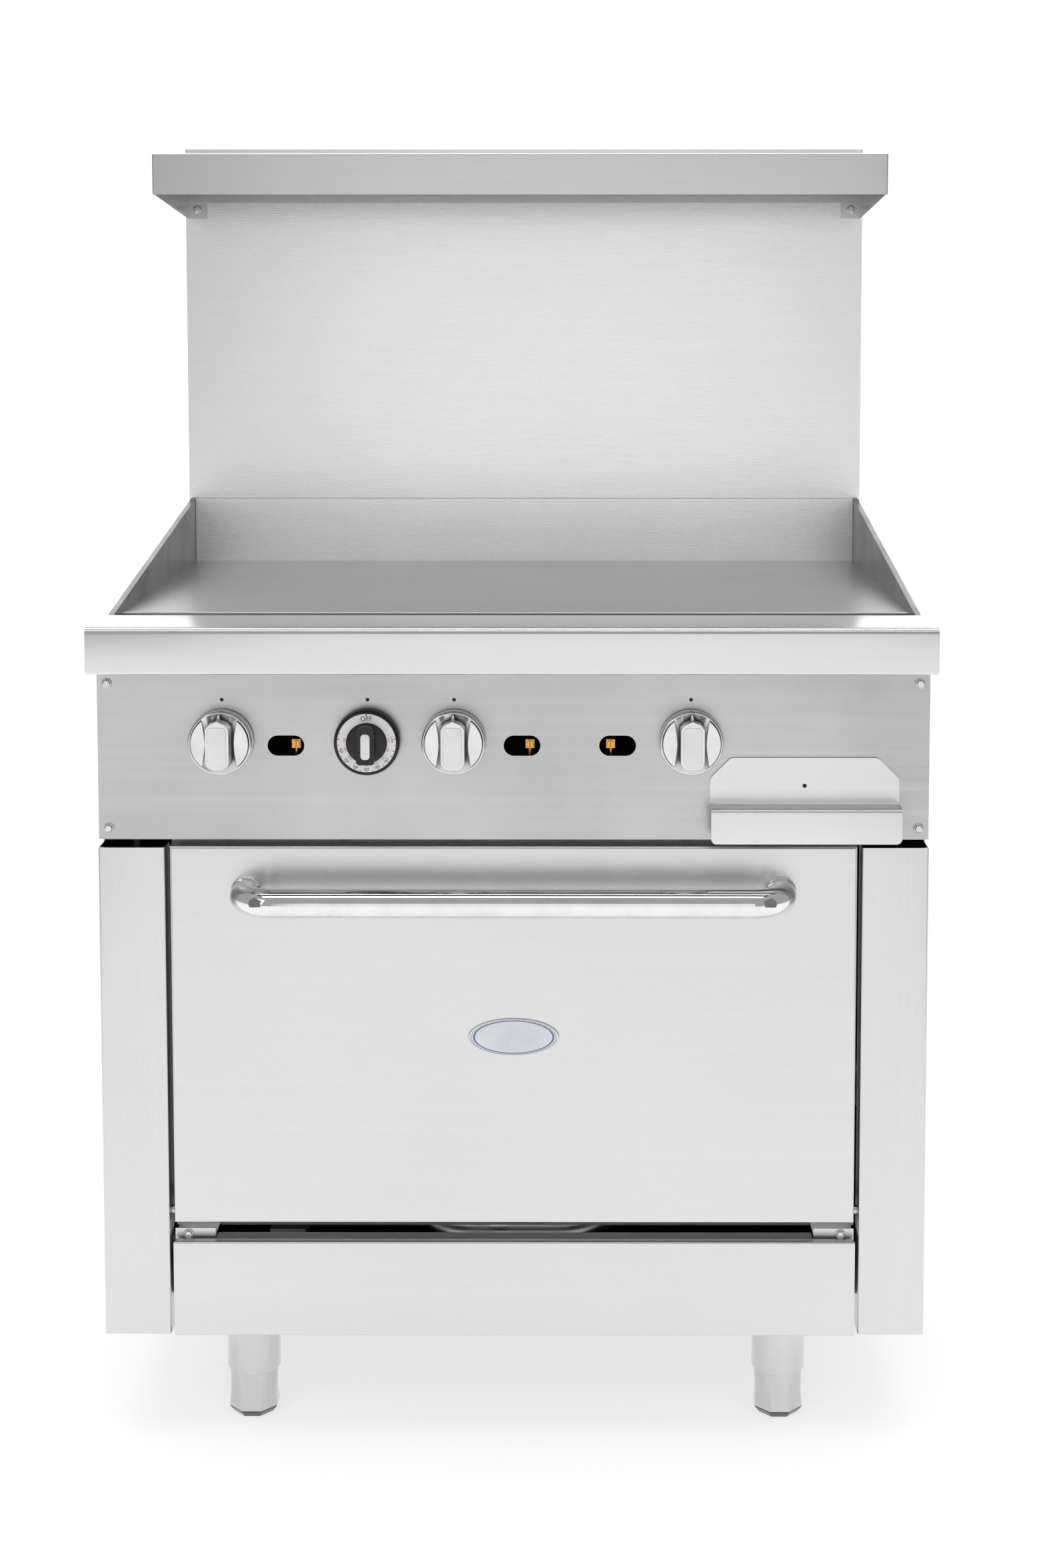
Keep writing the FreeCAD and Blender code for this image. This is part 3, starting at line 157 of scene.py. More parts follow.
def prism(name, axis, start, end, points, radii=0.0, steps=6):
    """A closed outline drawn along an axis."""
    outline = [point for point, _ in rounded(points, radii, closed=True, steps=steps)]
    count = len(outline)
    vertices = [in_space(axis, along, point) for along in (start, end) for point in outline]
    faces = [tuple(range(count)), tuple(range(2 * count - 1, count - 1, -1))]
    for index in range(count):
        following = (index + 1) % count
        faces.append((index, following, following + count, index + count))
    return new_object(name, vertices, faces)


def rectangle(low_a, low_b, high_a, high_b):
    return [(low_a, low_b), (high_a, low_b), (high_a, high_b), (low_a, high_b)]


def ring_of(count, radius, centre=(0, 0), squash=1.0):
    points = []
    for index in range(count):
        angle = 2 * math.pi * index / count
        points.append((centre[0] + radius * math.cos(angle),
                       centre[1] + radius * squash * math.sin(angle)))
    return points


def lathe(name, axis, centre, profile, steps=72, squash=1.0):
    """Turned shape: (radius, distance along the axis) pairs, spun round an axis."""
    a, b, along = {"x": (centre.y, centre.z, centre.x), "y": (centre.x, centre.z, centre.y),
                   "z": (centre.x, centre.y, centre.z)}[axis]
    vertices, faces = [], []
    for radius, reach in profile:
        for point in ring_of(steps, radius, (a, b), squash=squash):
            vertices.append(in_space(axis, along + reach, point))
    rings = len(profile)
    for ring in range(rings - 1):
        for index in range(steps):
            following = (index + 1) % steps
            faces.append((ring * steps + index, ring * steps + following,
                          (ring + 1) * steps + following, (ring + 1) * steps + index))
    faces.append(tuple(range(steps)))
    faces.append(tuple(range((rings - 1) * steps, rings * steps)))
    return new_object(name, vertices, faces)


def pan(name, low_corner, high_corner, open_side, thickness, bend, segments=4):
    """A folded tray: a box with one side open, bent edges and a wall."""
    vertices = [(x, y, z) for x in (low_corner.x, high_corner.x)
                for y in (low_corner.y, high_corner.y) for z in (low_corner.z, high_corner.z)]
    sides = {"-x": (0, 1, 3, 2), "+x": (4, 6, 7, 5), "-y": (0, 4, 5, 1), "+y": (2, 3, 7, 6),
             "-z": (0, 2, 6, 4), "+z": (1, 5, 7, 3)}
    faces = [corners for side, corners in sides.items() if side != open_side]
    piece = new_object(name, vertices, faces)
    shell = bmesh.new()
    shell.from_mesh(piece.data)
    bends = [edge for edge in shell.edges if len(edge.link_faces) == 2]
    bmesh.ops.bevel(shell, geom=bends, offset=bend, segments=segments, affect="EDGES", profile=0.5)
    shell.to_mesh(piece.data)
    shell.free()
    wall = piece.modifiers.new("wall", "SOLIDIFY")
    wall.thickness = thickness
    wall.offset = -1
    wall.use_even_offset = True
    return piece


def tube(name, points, radius, bend, steps=32, arc_steps=10):
    """A round bar along straight runs joined by arcs."""
    corners = [Vector(point) for point in points]
    spine = [corners[0]]
    for before, corner, after in zip(corners, corners[1:], corners[2:]):
        into, out = (corner - before).normalized(), (after - corner).normalized()
        turn = into.angle(out)
        trim = bend * math.tan(turn / 2)
        start = corner - into * trim
        axis = into.cross(out).normalized()
        centre = start + axis.cross(into) * bend
        for step in range(arc_steps + 1):
            swing = Matrix.Rotation(turn * step / arc_steps, 3, axis)
            spine.append(centre + swing @ (start - centre))
    spine.append(corners[-1])
    vertices, faces = [], []
    side = (corners[1] - corners[0]).normalized().orthogonal()
    for index, place in enumerate(spine):
        ahead = (spine[min(index + 1, len(spine) - 1)] - spine[max(index - 1, 0)]).normalized()
        side = (side - ahead * side.dot(ahead)).normalized()
        other = ahead.cross(side)
        for a, b in ring_of(steps, radius):
            vertices.append(place + side * a + other * b)
    for ring in range(len(spine) - 1):
        for index in range(steps):
            following = (index + 1) % steps
            faces.append((ring * steps + index, ring * steps + following,
                          (ring + 1) * steps + following, (ring + 1) * steps + index))
    faces.append(tuple(range(steps)))
    faces.append(tuple(range((len(spine) - 1) * steps, len(spine) * steps)))
    return new_object(name, vertices, faces)


def settle(piece):
    """Applies a piece's modifiers to its mesh."""
    graph = bpy.context.evaluated_depsgraph_get()
    mesh = bpy.data.meshes.new_from_object(piece.evaluated_get(graph))
    piece.modifiers.clear()
    piece.data = mesh


def carve(piece, tools, operation="DIFFERENCE"):
    """Boolean of a piece with tools, which are used up."""
    for tool in tools:
        step = piece.modifiers.new("carve", "BOOLEAN")
        step.object = tool
        step.operation = operation
        step.solver = "EXACT"
        settle(piece)
        bpy.data.objects.remove(tool)
    return piece


def join(name, pieces):
    """One mesh from several separate solids."""
    shell = bmesh.new()
    for piece in pieces:
        settle(piece)
        shell.from_mesh(piece.data)
        bpy.data.objects.remove(piece)
    mesh = bpy.data.meshes.new(name)
    shell.to_mesh(mesh)
    shell.free()
    joined = bpy.data.objects.new(name, mesh)
    bpy.context.scene.collection.objects.link(joined)
    return joined


def soften(piece, width=0.4 * MM, segments=2, angle=30):
    """Smooth shading with a small round on every sharp edge."""
    piece.data.shade_smooth()
    edge = piece.modifiers.new("edge", "BEVEL")
    edge.width = width
    edge.segments = segments
    edge.limit_method = "ANGLE"
    edge.angle_limit = math.radians(angle)
    edge.harden_normals = True
    return piece


def add(piece, body, slot, material, *nodes):
    """Gives a piece its body and material, and hides the CAD nodes that it stands for.
    The slot argument, its finish, is not used.
    """
    piece.data.materials.clear()
    piece.data.materials.append(material)
    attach(piece, body)
    if nodes:
        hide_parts(*nodes)
    return piece


def keep(material, *nodes):
    """CAD nodes that stay visible get a finished material."""
    for node in nodes:
        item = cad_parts[node]
        if not item.material_slots:
            item.data.materials.append(material)
        for place in item.material_slots:
            place.material = material


# ------------------------------------------------------------------ materials
class Finish:
    """A node material under construction; coordinates are the object's own, in metres."""

    def __init__(self, name, metallic=0.0, roughness=0.5, **inputs):
        self.material = bpy.data.materials.new(name)
        self.material.use_nodes = True
        self.tree = self.material.node_tree
        self.shader = self.tree.nodes["Principled BSDF"]
        self.shader.inputs["Metallic"].default_value = metallic
        self.shader.inputs["Roughness"].default_value = roughness
        for word, value in inputs.items():
            self.shader.inputs[word.replace("_", " ")].default_value = value
        self.place = self.node("ShaderNodeTexCoord").outputs["Object"]

    def node(self, kind, **settings):
        made = self.tree.nodes.new(kind)
        for word, value in settings.items():
            setattr(made, word, value)
        return made

    def link(self, start, end):
        self.tree.links.new(start, end)

    def noise(self, scale, detail=3.0, roughness=0.5, stretch=(1, 1, 1)):
        """Noise in the object's space; stretch makes it longer or finer along each axis."""
        mapping = self.node("ShaderNodeMapping")
        mapping.inputs["Scale"].default_value = stretch
        noise = self.node("ShaderNodeTexNoise")
        noise.inputs["Scale"].default_value = scale
        noise.inputs["Detail"].default_value = detail
        noise.inputs["Roughness"].default_value = roughness
        self.link(self.place, mapping.inputs["Vector"])
        self.link(mapping.outputs["Vector"], noise.inputs["Vector"])
        return noise.outputs["Fac"]

    def spread(self, value, low_in, high_in, low_out, high_out):
        """A value's range moved to another range."""
        step = self.node("ShaderNodeMapRange")
        for word, number in (("From Min", low_in), ("From Max", high_in),
                             ("To Min", low_out), ("To Max", high_out)):
            step.inputs[word].default_value = number
        self.link(value, step.inputs["Value"])
        return step.outputs["Result"]

    def mix(self, factor, first, second):
        """Two colours, or the output of a node and a colour, mixed by a factor."""
        blend = self.node("ShaderNodeMix", data_type="RGBA")
        self.link(factor, blend.inputs["Factor"])
        for word, colour in (("A", first), ("B", second)):
            socket = [item for item in blend.inputs if item.name == word][2]
            if isinstance(colour, tuple):
                socket.default_value = (*colour, 1)
            else:
                self.link(colour, socket)
        return [item for item in blend.outputs if item.name == "Result"][2]

    def edge_wear_and_shade(self, base, edge_tone, reach=0.002, amount=1.0):
        """Colour that turns to another one along exposed edges."""
        bevel = self.node("ShaderNodeBevel", samples=4)
        bevel.inputs["Radius"].default_value = reach
        normal = self.node("ShaderNodeNewGeometry")
        compare = self.node("ShaderNodeVectorMath", operation="DOT_PRODUCT")
        self.link(bevel.outputs["Normal"], compare.inputs[0])
        self.link(normal.outputs["Normal"], compare.inputs[1])
        edge = self.spread(compare.outputs["Value"], 0.97, 0.75, 0.0, amount)
        return self.mix(edge, base, edge_tone)

    def painted_crevice_shade(self, base, dark, reach=0.006, low=0.25, high=0.85):
        """Painted shade: colour that deepens in hollows and corners, by ambient occlusion."""
        shade = self.node("ShaderNodeAmbientOcclusion", samples=6)
        shade.inputs["Distance"].default_value = reach
        return self.mix(self.spread(shade.outputs["AO"], low, high, 0, 1), dark, base)

    def colour(self, value):
        self.link(value, self.shader.inputs["Base Color"])
        return self

    def rough(self, value):
        self.link(value, self.shader.inputs["Roughness"])
        return self

    def bump(self, height, strength, distance=0.0005):
        step = self.node("ShaderNodeBump")
        step.inputs["Strength"].default_value = strength
        step.inputs["Distance"].default_value = distance
        self.link(height, step.inputs["Height"])
        self.link(step.outputs["Normal"], self.shader.inputs["Normal"])
        return self


GRAIN = {"x": (0.012, 1, 1), "y": (1, 0.012, 1), "z": (1, 1, 0.012)}


def brushed(name, tone, roughness, grain="x", depth=0.05, smudge=0.04, ends=None,
            sole=None, metallic=1.0):
    """Brushed sheet metal: fine lines along one axis, cloudy handling marks, faint paler streaks.

    ends is (x, share): beyond x to either side, the metal is painted darker as shade, in
    blotches down to that share.
    Below the height sole it is dark, and its ridges are painted darker as shade, so that the
    facets show. A metallic below 1 makes the sheet paler where it mirrors something dark."""
    finish = Finish(name, metallic=metallic, roughness=roughness)
    lines = finish.noise(2600, 3, 0.6, GRAIN[grain])
    clouds = finish.noise(3.2, 5, 0.55)
    streaks = finish.noise(90, 3, 0.5, GRAIN[grain])
    light = (min(1, tone * (1 + smudge)),) * 3
    dark = (tone * (1 - smudge),) * 3
    cloudy = finish.mix(finish.spread(clouds, 0.3, 0.7, 0, 1), dark, light)
    bright = (min(1, light[0] * 1.015),) * 3
    metal = finish.mix(finish.spread(streaks, 0.5, 0.75, 0, 0.5), cloudy, bright)
    # painted shade: past x at either side the metal darkens in blotches
    if ends:
        apart = finish.node("ShaderNodeSeparateXYZ")
        finish.link(finish.place, apart.inputs["Vector"])
        reach = finish.node("ShaderNodeMath", operation="ABSOLUTE")
        finish.link(apart.outputs["X"], reach.inputs[0])
        shade_blotches = finish.noise(9, 5, 0.65)
        blotched_shade = finish.mix(finish.spread(shade_blotches, 0.35, 0.7, 0, 1), (tone * ends[1] * 0.6,) * 3,
                             (tone * ends[1] * 1.5,) * 3)
        beyond = finish.spread(reach.outputs["Value"], ends[0] - 0.001, ends[0], 0, 1)
        metal = finish.mix(beyond, metal, blotched_shade)
    if sole:
        # painted shade along the ridges, so that the facets of a faceted foot show
        metal = finish.edge_wear_and_shade(metal, (tone * 0.3,) * 3, 0.003, 0.9)
        apart = finish.node("ShaderNodeSeparateXYZ")
        finish.link(finish.place, apart.inputs["Vector"])
        under = finish.spread(apart.outputs["Z"], sole + 0.0008, sole, 0, 1)
        metal = finish.mix(under, metal, (tone * 0.18,) * 3)
    finish.colour(metal)
    finish.rough(finish.spread(lines, 0.3, 0.7, roughness * 0.88, roughness * 1.14))
    return finish.bump(lines, depth, 0.0002).material


def polished(name, tone, roughness=0.06, tint=(1, 1, 1), waviness=0.02, groove_shade=0.0):
    """Plated metal with a slight orange peel, faint hazing and painted shade in its hollows."""
    finish = Finish(name, metallic=1.0, roughness=roughness)
    haze = finish.noise(40, 4, 0.6)
    light = tuple(min(1, tone * part) for part in tint)
    dark = tuple(tone * part * 0.9 for part in tint)
    hazy = finish.mix(finish.spread(haze, 0.35, 0.7, 0, 1), light, dark)
    # painted shade: ambient occlusion darkens the colour in hollows
    if groove_shade:
        hazy = finish.painted_crevice_shade(hazy, tuple(part * 0.04 for part in light), groove_shade)
    finish.colour(hazy)
    finish.rough(finish.spread(haze, 0.3, 0.75, roughness * 0.7, roughness * 1.8))
    return finish.bump(finish.noise(260, 2), waviness, 0.0003).material


def coated(name, base, edge_tone, roughness=0.45, grain=900, depth=0.08, metallic=0.0):
    """Paint, plastic, enamel or a casting: a fine texture, cloudy colour and paler edges."""
    finish = Finish(name, metallic=metallic, roughness=roughness)
    clouds = finish.noise(25, 4, 0.6)
    varied = finish.mix(finish.spread(clouds, 0.3, 0.7, 0, 1), base,
                        tuple(part * 0.85 for part in base))
    finish.colour(finish.edge_wear_and_shade(varied, edge_tone, 0.0012, 0.6))
    skin = finish.noise(grain, 3, 0.6)
    finish.rough(finish.spread(skin, 0.3, 0.7, roughness * 0.85, min(1, roughness * 1.2)))
    return finish.bump(skin, depth, 0.0003).material


def spangled(name, tone, roughness):
    """Galvanised sheet: crystal patches of slightly different grey."""
    finish = Finish(name, metallic=0.9, roughness=roughness)
    crystals = finish.node("ShaderNodeTexVoronoi")
    crystals.inputs["Scale"].default_value = 90
    finish.link(finish.place, crystals.inputs["Vector"])
    grey = finish.node("ShaderNodeRGBToBW")
    finish.link(crystals.outputs["Color"], grey.inputs["Color"])
    finish.colour(finish.mix(grey.outputs["Val"], (tone * 0.8,) * 3, (tone,) * 3))
    finish.rough(finish.spread(grey.outputs["Val"], 0, 1, roughness * 0.8, roughness * 1.2))
    return finish.bump(finish.noise(700, 2), 0.05, 0.0003).material


def fibrous(name, pale, dark):
    """Mineral wool."""
    finish = Finish(name, roughness=0.95)
    strands = finish.noise(500, 5, 0.7, (0.2, 1, 0.2))
    finish.colour(finish.mix(finish.spread(strands, 0.35, 0.65, 0, 1), dark, pale))
    return finish.bump(strands, 0.6, 0.001).material


SATIN = brushed("satin_steel", 0.72, 0.30, "x", 0.01, 0.015)
SATIN_UPRIGHT = brushed("satin_steel_upright", 0.71, 0.30, "z", 0.01, 0.02)
# painted shade: the control panel's steel is a darker copy, for the shade under the bullnose rail
SATIN_PANEL_SHADED = brushed("satin_steel_panel_painted_shade", 0.58, 0.34, "x", 0.015, 0.14)
# painted light: the back guard's steel is a brighter copy, for the light that it mirrors
SATIN_GUARD_LIT = brushed("satin_steel_guard_painted_light", 0.90, 0.27, "x", 0.004, 0.015)
# painted light and shade: the splash guards' steel is a brighter copy, its outer sides painted
# darker
SATIN_SPLASH_LIT = brushed("satin_steel_splash_painted_light", 0.98, 0.28, "x", 0.02, 0.03,
                       (SPLASH_END, SPLASH_SIDE_SHADE), metallic=0.85)
SATIN_SHELF = brushed("satin_steel_shelf", 0.68, 0.24, "x", 0.005, 0.02)
SATIN_RAIL = brushed("satin_steel_rail", 0.74, 0.20, "x", 0.008, 0.02)
SATIN_DARK = brushed("satin_steel_shaded", 0.20, 0.36, "x", 0.05, 0.10)
SATIN_DRAWER = brushed("satin_steel_drawer", 0.78, 0.32, "x", 0.015, 0.05)
GRIDDLE = brushed("ground_griddle", 0.56, 0.30, "x", 0.08, 0.06)
LEG = brushed("leg_steel", 0.66, 0.09, "z", 0.04, 0.10)
FOOT = brushed("foot_steel", 0.62, 0.16, "z", 0.05, 0.12, sole=SOLE)
CHROME = polished("chrome", 0.86, 0.05)
# painted shade darkens the hollows of this finish, and of brass and zinc below
CHROME_KNOB = polished("chrome_knob", 0.80, 0.13, groove_shade=0.006)
CHROME_SATIN = polished("satin_chrome", 0.80, 0.32)
KNOB_INSET = coated("knob_inset", (0.86, 0.86, 0.87), (0.95, 0.95, 0.95), 0.30, metallic=0.25)
BLACK = coated("black_plastic", (0.006, 0.006, 0.007), (0.03, 0.03, 0.032), 0.38)
WHITE_RING = coated("white_ring", (0.93, 0.93, 0.92), (0.9, 0.9, 0.9), 0.35)
PALE_INSET = coated("pale_inset", (0.80, 0.80, 0.81), (0.9, 0.9, 0.9), 0.3, metallic=0.3)
INK = coated("dark_ink", (0.03, 0.03, 0.035), (0.03, 0.03, 0.035), 0.5)
RED_INK = coated("red_ink", (0.62, 0.05, 0.04), (0.62, 0.05, 0.04), 0.5)
BADGE_FACE = coated("badge_face", (0.80, 0.83, 0.87), (0.9, 0.9, 0.9), 0.18)
BADGE_BLUE = coated("badge_blue", (0.03, 0.10, 0.36), (0.1, 0.2, 0.5), 0.2)
BRASS = polished("brass", 0.80, 0.22, (1.0, 0.52, 0.12), groove_shade=0.004)
CAST = coated("cast_aluminium", (0.36, 0.37, 0.38), (0.6, 0.6, 0.6), 0.5, 500, 0.3, 0.7)
CAST_IRON = coated("burner_iron", (0.05, 0.05, 0.05), (0.16, 0.15, 0.14), 0.7, 400, 0.4, 0.3)
RED = coated("red_plastic", (0.55, 0.02, 0.02), (0.7, 0.1, 0.1), 0.35)
PIPE = coated("black_pipe", (0.045, 0.045, 0.048), (0.2, 0.2, 0.2), 0.55, 500, 0.3, 0.4)
TUBE = polished("gas_tube", 0.62, 0.25, (1.0, 0.98, 0.95))
ENAMEL = coated("dark_enamel", (0.045, 0.05, 0.06), (0.2, 0.2, 0.2), 0.22, 300, 0.05)
WOOL = fibrous("mineral_wool", (0.62, 0.56, 0.36), (0.38, 0.33, 0.18))
WIRE = polished("rack_wire", 0.68, 0.16)
ZINC = polished("zinc", 0.74, 0.16, (0.98, 0.99, 1.0), groove_shade=0.003)
GALVANISED = spangled("galvanised", 0.46, 0.40)
FRAME_STEEL = coated("frame_steel", (0.035, 0.035, 0.037), (0.12, 0.12, 0.12), 0.6, 400, 0.3, 0.3)


# ------------------------------------------------------------------ CAD nodes that stay
def eased(width, *nodes):
    """Small rounds on the sharp edges of CAD nodes, so that the metal catches the light."""
    for node in nodes:
        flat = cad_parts[node].modifiers.new("flat", "DECIMATE")
        flat.decimate_type = "DISSOLVE"
        flat.angle_limit = math.radians(0.5)
        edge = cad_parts[node].modifiers.new("edge", "BEVEL")
        edge.width = width
        edge.segments = 2
        edge.limit_method = "ANGLE"
        edge.angle_limit = math.radians(35)
        edge.harden_normals = True


keep(SATIN_PANEL_SHADED, "control_panel")
keep(SATIN_UPRIGHT, "side_panel_left", "side_panel_right")
keep(SATIN_GUARD_LIT, "back_guard")
keep(SATIN_SPLASH_LIT, "griddle_splash")
keep(SATIN_SHELF, "shelf_bracket_left", "shelf_bracket_right")
keep(SATIN, "door_outer", "door_inner", "grease_trough", "grease_drawer", "oven_front_frame")
keep(GALVANISED, "rear_panel", "flue_back", "flue_riser", "burner_baffle")
keep(FRAME_STEEL, "base_frame")
keep(GRIDDLE, "griddle_plate")
keep(CAST_IRON, "griddle_burners")
keep(ENAMEL, "oven_liner", "oven_deck")
keep(WIRE, "oven_rack", "rack_guides")
keep(WOOL, "oven_insulation", "door_insulation")
keep(PIPE, "gas_manifold", "gas_inlet_pipe")
keep(TUBE, "oven_gas_tube", "oven_burner")
keep(BRASS, "griddle_valves", "pilot_valves", "valve_stem_left", "valve_stem_middle",
     "valve_stem_right", "thermostat_stem")
keep(CAST, "thermostat_body", "safety_valve")
keep(RED, "safety_button")
keep(ZINC, "door_springs", "hinge_shafts", "hinge_bearings")
eased(0.5 * MM, "control_panel", "back_guard", "griddle_splash", "door_outer")
eased(0.4 * MM, "shelf_bracket_left", "shelf_bracket_right", "side_panel_left",
      "side_panel_right", "grease_trough", "rear_panel", "flue_back")
eased(1.0 * MM, "griddle_plate")


# ------------------------------------------------------------------ folded sheets
def bullnose_rail():
    """Front rail: rolled top edge, flat face, turned-under lip and welded end caps."""
    front, back = RAIL_LOW.y, RAIL_HIGH.y
    bottom, top = RAIL_LOW.z, RAIL_HIGH.z
    skin = folded("rail_skin", "x", -HALF, HALF,
                  [(back, top), (front, top), (front, bottom), (front + 12 * MM, bottom)],
                  2 * MM, [0, 8 * MM, 3 * MM, 0], steps=10)
    caps = []
    for side in (-1, 1):
        outline = rectangle(front + 0.8 * MM, bottom + 0.8 * MM, back, top - 0.8 * MM)
        start, end = sorted((side * (HALF - 0.2 * MM), side * (HALF - 2 * MM)))
        caps.append(prism("rail_cap", "x", start, end, outline, [2 * MM, 0, 0, 7 * MM], 10))
    soften(add(join("bullnose_rail_skin", [skin, *caps]), "cabinet", "stainless", SATIN_RAIL,
               "bullnose_rail"))


def post(side, node):
    """Corner post: a C-shaped upright with bent corners."""
    a, b = low(node), high(node)
    piece = folded(f"post_{side}_skin", "z", a.z, b.z,
                   [(a.x, b.y), (a.x, a.y), (b.x, a.y), (b.x, a.y + 28 * MM)]
                   if side == "left" else
                   [(a.x, a.y + 28 * MM), (a.x, a.y), (b.x, a.y), (b.x, b.y)],
                   SHEET, [0, 2.5 * MM, 2.5 * MM, 0])
    soften(add(piece, "cabinet", "stainless", SATIN_UPRIGHT, node), 0.3 * MM)


def kick_panel():
    """Kick panel: a face with returned edges and a deep ledge between the hinge tabs."""
    a, b = low("kick_panel"), high("kick_panel")
    lip = a.y + 10 * MM
    skin = folded("kick_skin", "x", a.x, b.x, [(lip, b.z), (a.y, b.z), (a.y, a.z), (lip, a.z)],
                  SHEET, [0, 2.0 * MM, 2.0 * MM, 0])
    ledge = prism("kick_ledge", "z", b.z - SHEET, b.z,
                  rectangle(a.x + 46 * MM, lip, b.x - 46 * MM, b.y))
    soften(add(skin, "cabinet", "stainless", SATIN, "kick_panel"), 0.3 * MM)
    soften(add(ledge, "cabinet", "stainless", SATIN_DARK), 0.3 * MM)


def high_shelf():
    """Shelf pan with turned-down front, ends and back."""
    a, b = low("high_shelf"), high("high_shelf")
    piece = pan("shelf_skin", a, b, "-z", SHEET, 2.2 * MM)
    piece.data.shade_smooth()
    even = piece.modifiers.new("even", "WEIGHTED_NORMAL")
    even.weight = 100
    even.keep_sharp = True
    add(piece, "cabinet", "stainless", SATIN_SHELF, "high_shelf")


def drawer_front():
    """Grease drawer face: chamfered plate, a ledge folded forward and a hanging pull."""
    a, b = low("drawer_front"), high("drawer_front")
    centre = (a.x + b.x) / 2
    wide = (b.x - a.x) / 2
    face = b.y - 2 * MM
    ledge = a.z + 39 * MM
    split = ledge + 4 * MM
    plate = prism("face", "y", face, b.y, [
        (centre - wide, split), (centre + wide, split), (centre + wide, b.z - 23 * MM),
        (centre + wide - 23 * MM, b.z), (centre - wide + 23 * MM, b.z),
        (centre - wide, b.z - 23 * MM)], [0, 0, 9 * MM, 9 * MM, 9 * MM, 9 * MM])
    hole = prism("hole", "y", face - 5 * MM, b.y + 5 * MM,
                 ring_of(24, 2.4 * MM, (centre, b.z - 31 * MM)))
    carve(plate, [hole])
    fold = folded("fold", "x", a.x, b.x,
                  [(face, split), (face, ledge), (a.y, ledge), (a.y, a.z)],
                  2 * MM, [0, 2 * MM, 5 * MM, 0], steps=8)
    trim = prism("trim", "y", a.y - MM, b.y + MM, rectangle(a.x, a.z, b.x, split + MM),
                 [6 * MM, 6 * MM, 0, 0])
    carve(fold, [trim], "INTERSECT")
    soften(add(join("drawer_face", [plate, fold]), "drawer", "stainless", SATIN_DRAWER,
               "drawer_front"), 0.4 * MM)
    plug = lathe("drawer_hole_shade", "y", Vector((centre, 0, b.z - 31 * MM)), [
        (2.9 * MM, b.y + 0.05 * MM), (2.9 * MM, b.y - 0.4 * MM), (2.3 * MM, b.y - 0.5 * MM),
        (0.1 * MM, b.y - 0.3 * MM)], 24)
    soften(add(plug, "drawer", "dial_black", BLACK), 0.1 * MM)


# ------------------------------------------------------------------ knobs and dial
def knob(side, body):
    """Chrome burner knob: dished skirt, two side flats and a pointed grip with a pale inset."""
    node = f"knob_{side}"
    a, b = low(node), high(node)
    centre = Vector((KNOBS[side].x, 0, KNOBS[side].z))
    radius = (b.x - a.x) / 2
    back, front = b.y, a.y
    rim = back - KNOB_SKIRT
    skirt = lathe("skirt", "y", centre, [
        (radius - 1 * MM, back), (radius, back - 1.2 * MM), (radius, rim + 2 * MM),
        (radius - 0.6 * MM, rim + 0.6 * MM), (radius - 1.8 * MM, rim),
        (radius - 3 * MM, rim + 0.4 * MM), (20 * MM, rim + 4 * MM), (0.5 * MM, rim + 5 * MM)],
        steps=ROUND)
    solids = [skirt]
    for way in (-1, 1):
        limit = math.acos(FLAT_INNER / FLAT_OUTER)
        arc = []
        for step in range(FLAT_STEPS + 1):
            angle = -limit + 2 * limit * step / FLAT_STEPS
            arc.append((centre.x + way * FLAT_OUTER * math.cos(angle),
                        centre.z + FLAT_OUTER * math.sin(angle)))
        for step in range(1, 12):
            rise = math.cos(math.pi * step / 12)
            arc.append((centre.x + way * (15.5 + 3.5 * abs(rise) ** 1.5) * MM,
                        centre.z + 25.1 * MM * rise))
        if way < 0:
            arc.reverse()
        flat = prism("flat", "y", rim - 2 * MM, rim + 6 * MM, arc)
        solids.append(flat)
    x, z = centre.x, centre.z
    grip = prism("grip", "y", front + 0.8 * MM, rim + 6 * MM, [
        (x - 13 * MM, z - 25 * MM), (x + 13 * MM, z - 25 * MM), (x + 13 * MM, z + 19 * MM),
        (x + 9 * MM, z + 24 * MM), (x, z + 28 * MM), (x - 9 * MM, z + 24 * MM),
        (x - 13 * MM, z + 19 * MM)],
        [9 * MM, 9 * MM, 3 * MM, 3 * MM, 1 * MM, 3 * MM, 3 * MM])
    ridge = prism("ridge", "y", rim - 7 * MM, rim + 6 * MM, [
        (x - 2.6 * MM, z + 24 * MM), (x + 2.6 * MM, z + 24 * MM), (x + 0.7 * MM, z + 33 * MM),
        (x - 0.7 * MM, z + 33 * MM)])
    solids += [grip, ridge]
    soften(add(join(f"{node}_chrome", solids), body, "chrome", CHROME_KNOB, node), 1.2 * MM, 4, 28)
    inset = prism(f"{node}_inset", "y", front, front + 2 * MM,
                  rectangle(x - 10 * MM, z - 22.5 * MM, x + 10 * MM, z + 21 * MM),
                  [6 * MM, 6 * MM, 4 * MM, 4 * MM])
    soften(add(inset, body, "chrome", KNOB_INSET), 0.5 * MM, 3)


def flat_text(words, size, place, turn):
    """A word as a thin mesh facing forward, centred at a place and turned in that plane."""
    curve = bpy.data.curves.new("words", "FONT")
    curve.body = words
    curve.size = size
    curve.align_x = "CENTER"
    curve.align_y = "CENTER"
    curve.extrude = 0.05 * MM
    curve.resolution_u = 3
    item = bpy.data.objects.new("words", curve)
    bpy.context.scene.collection.objects.link(item)
    item.matrix_world = (Matrix.Translation(place) @ Matrix.Rotation(turn, 4, "Y")
                         @ Matrix.Rotation(math.radians(90), 4, "X"))
    bpy.context.view_layer.update()
    graph = bpy.context.evaluated_depsgraph_get()
    mesh = bpy.data.meshes.new_from_object(item.evaluated_get(graph))
    mesh.transform(item.matrix_world)
    bpy.data.objects.remove(item)
    piece = bpy.data.objects.new("words", mesh)
    bpy.context.scene.collection.objects.link(piece)
    return piece


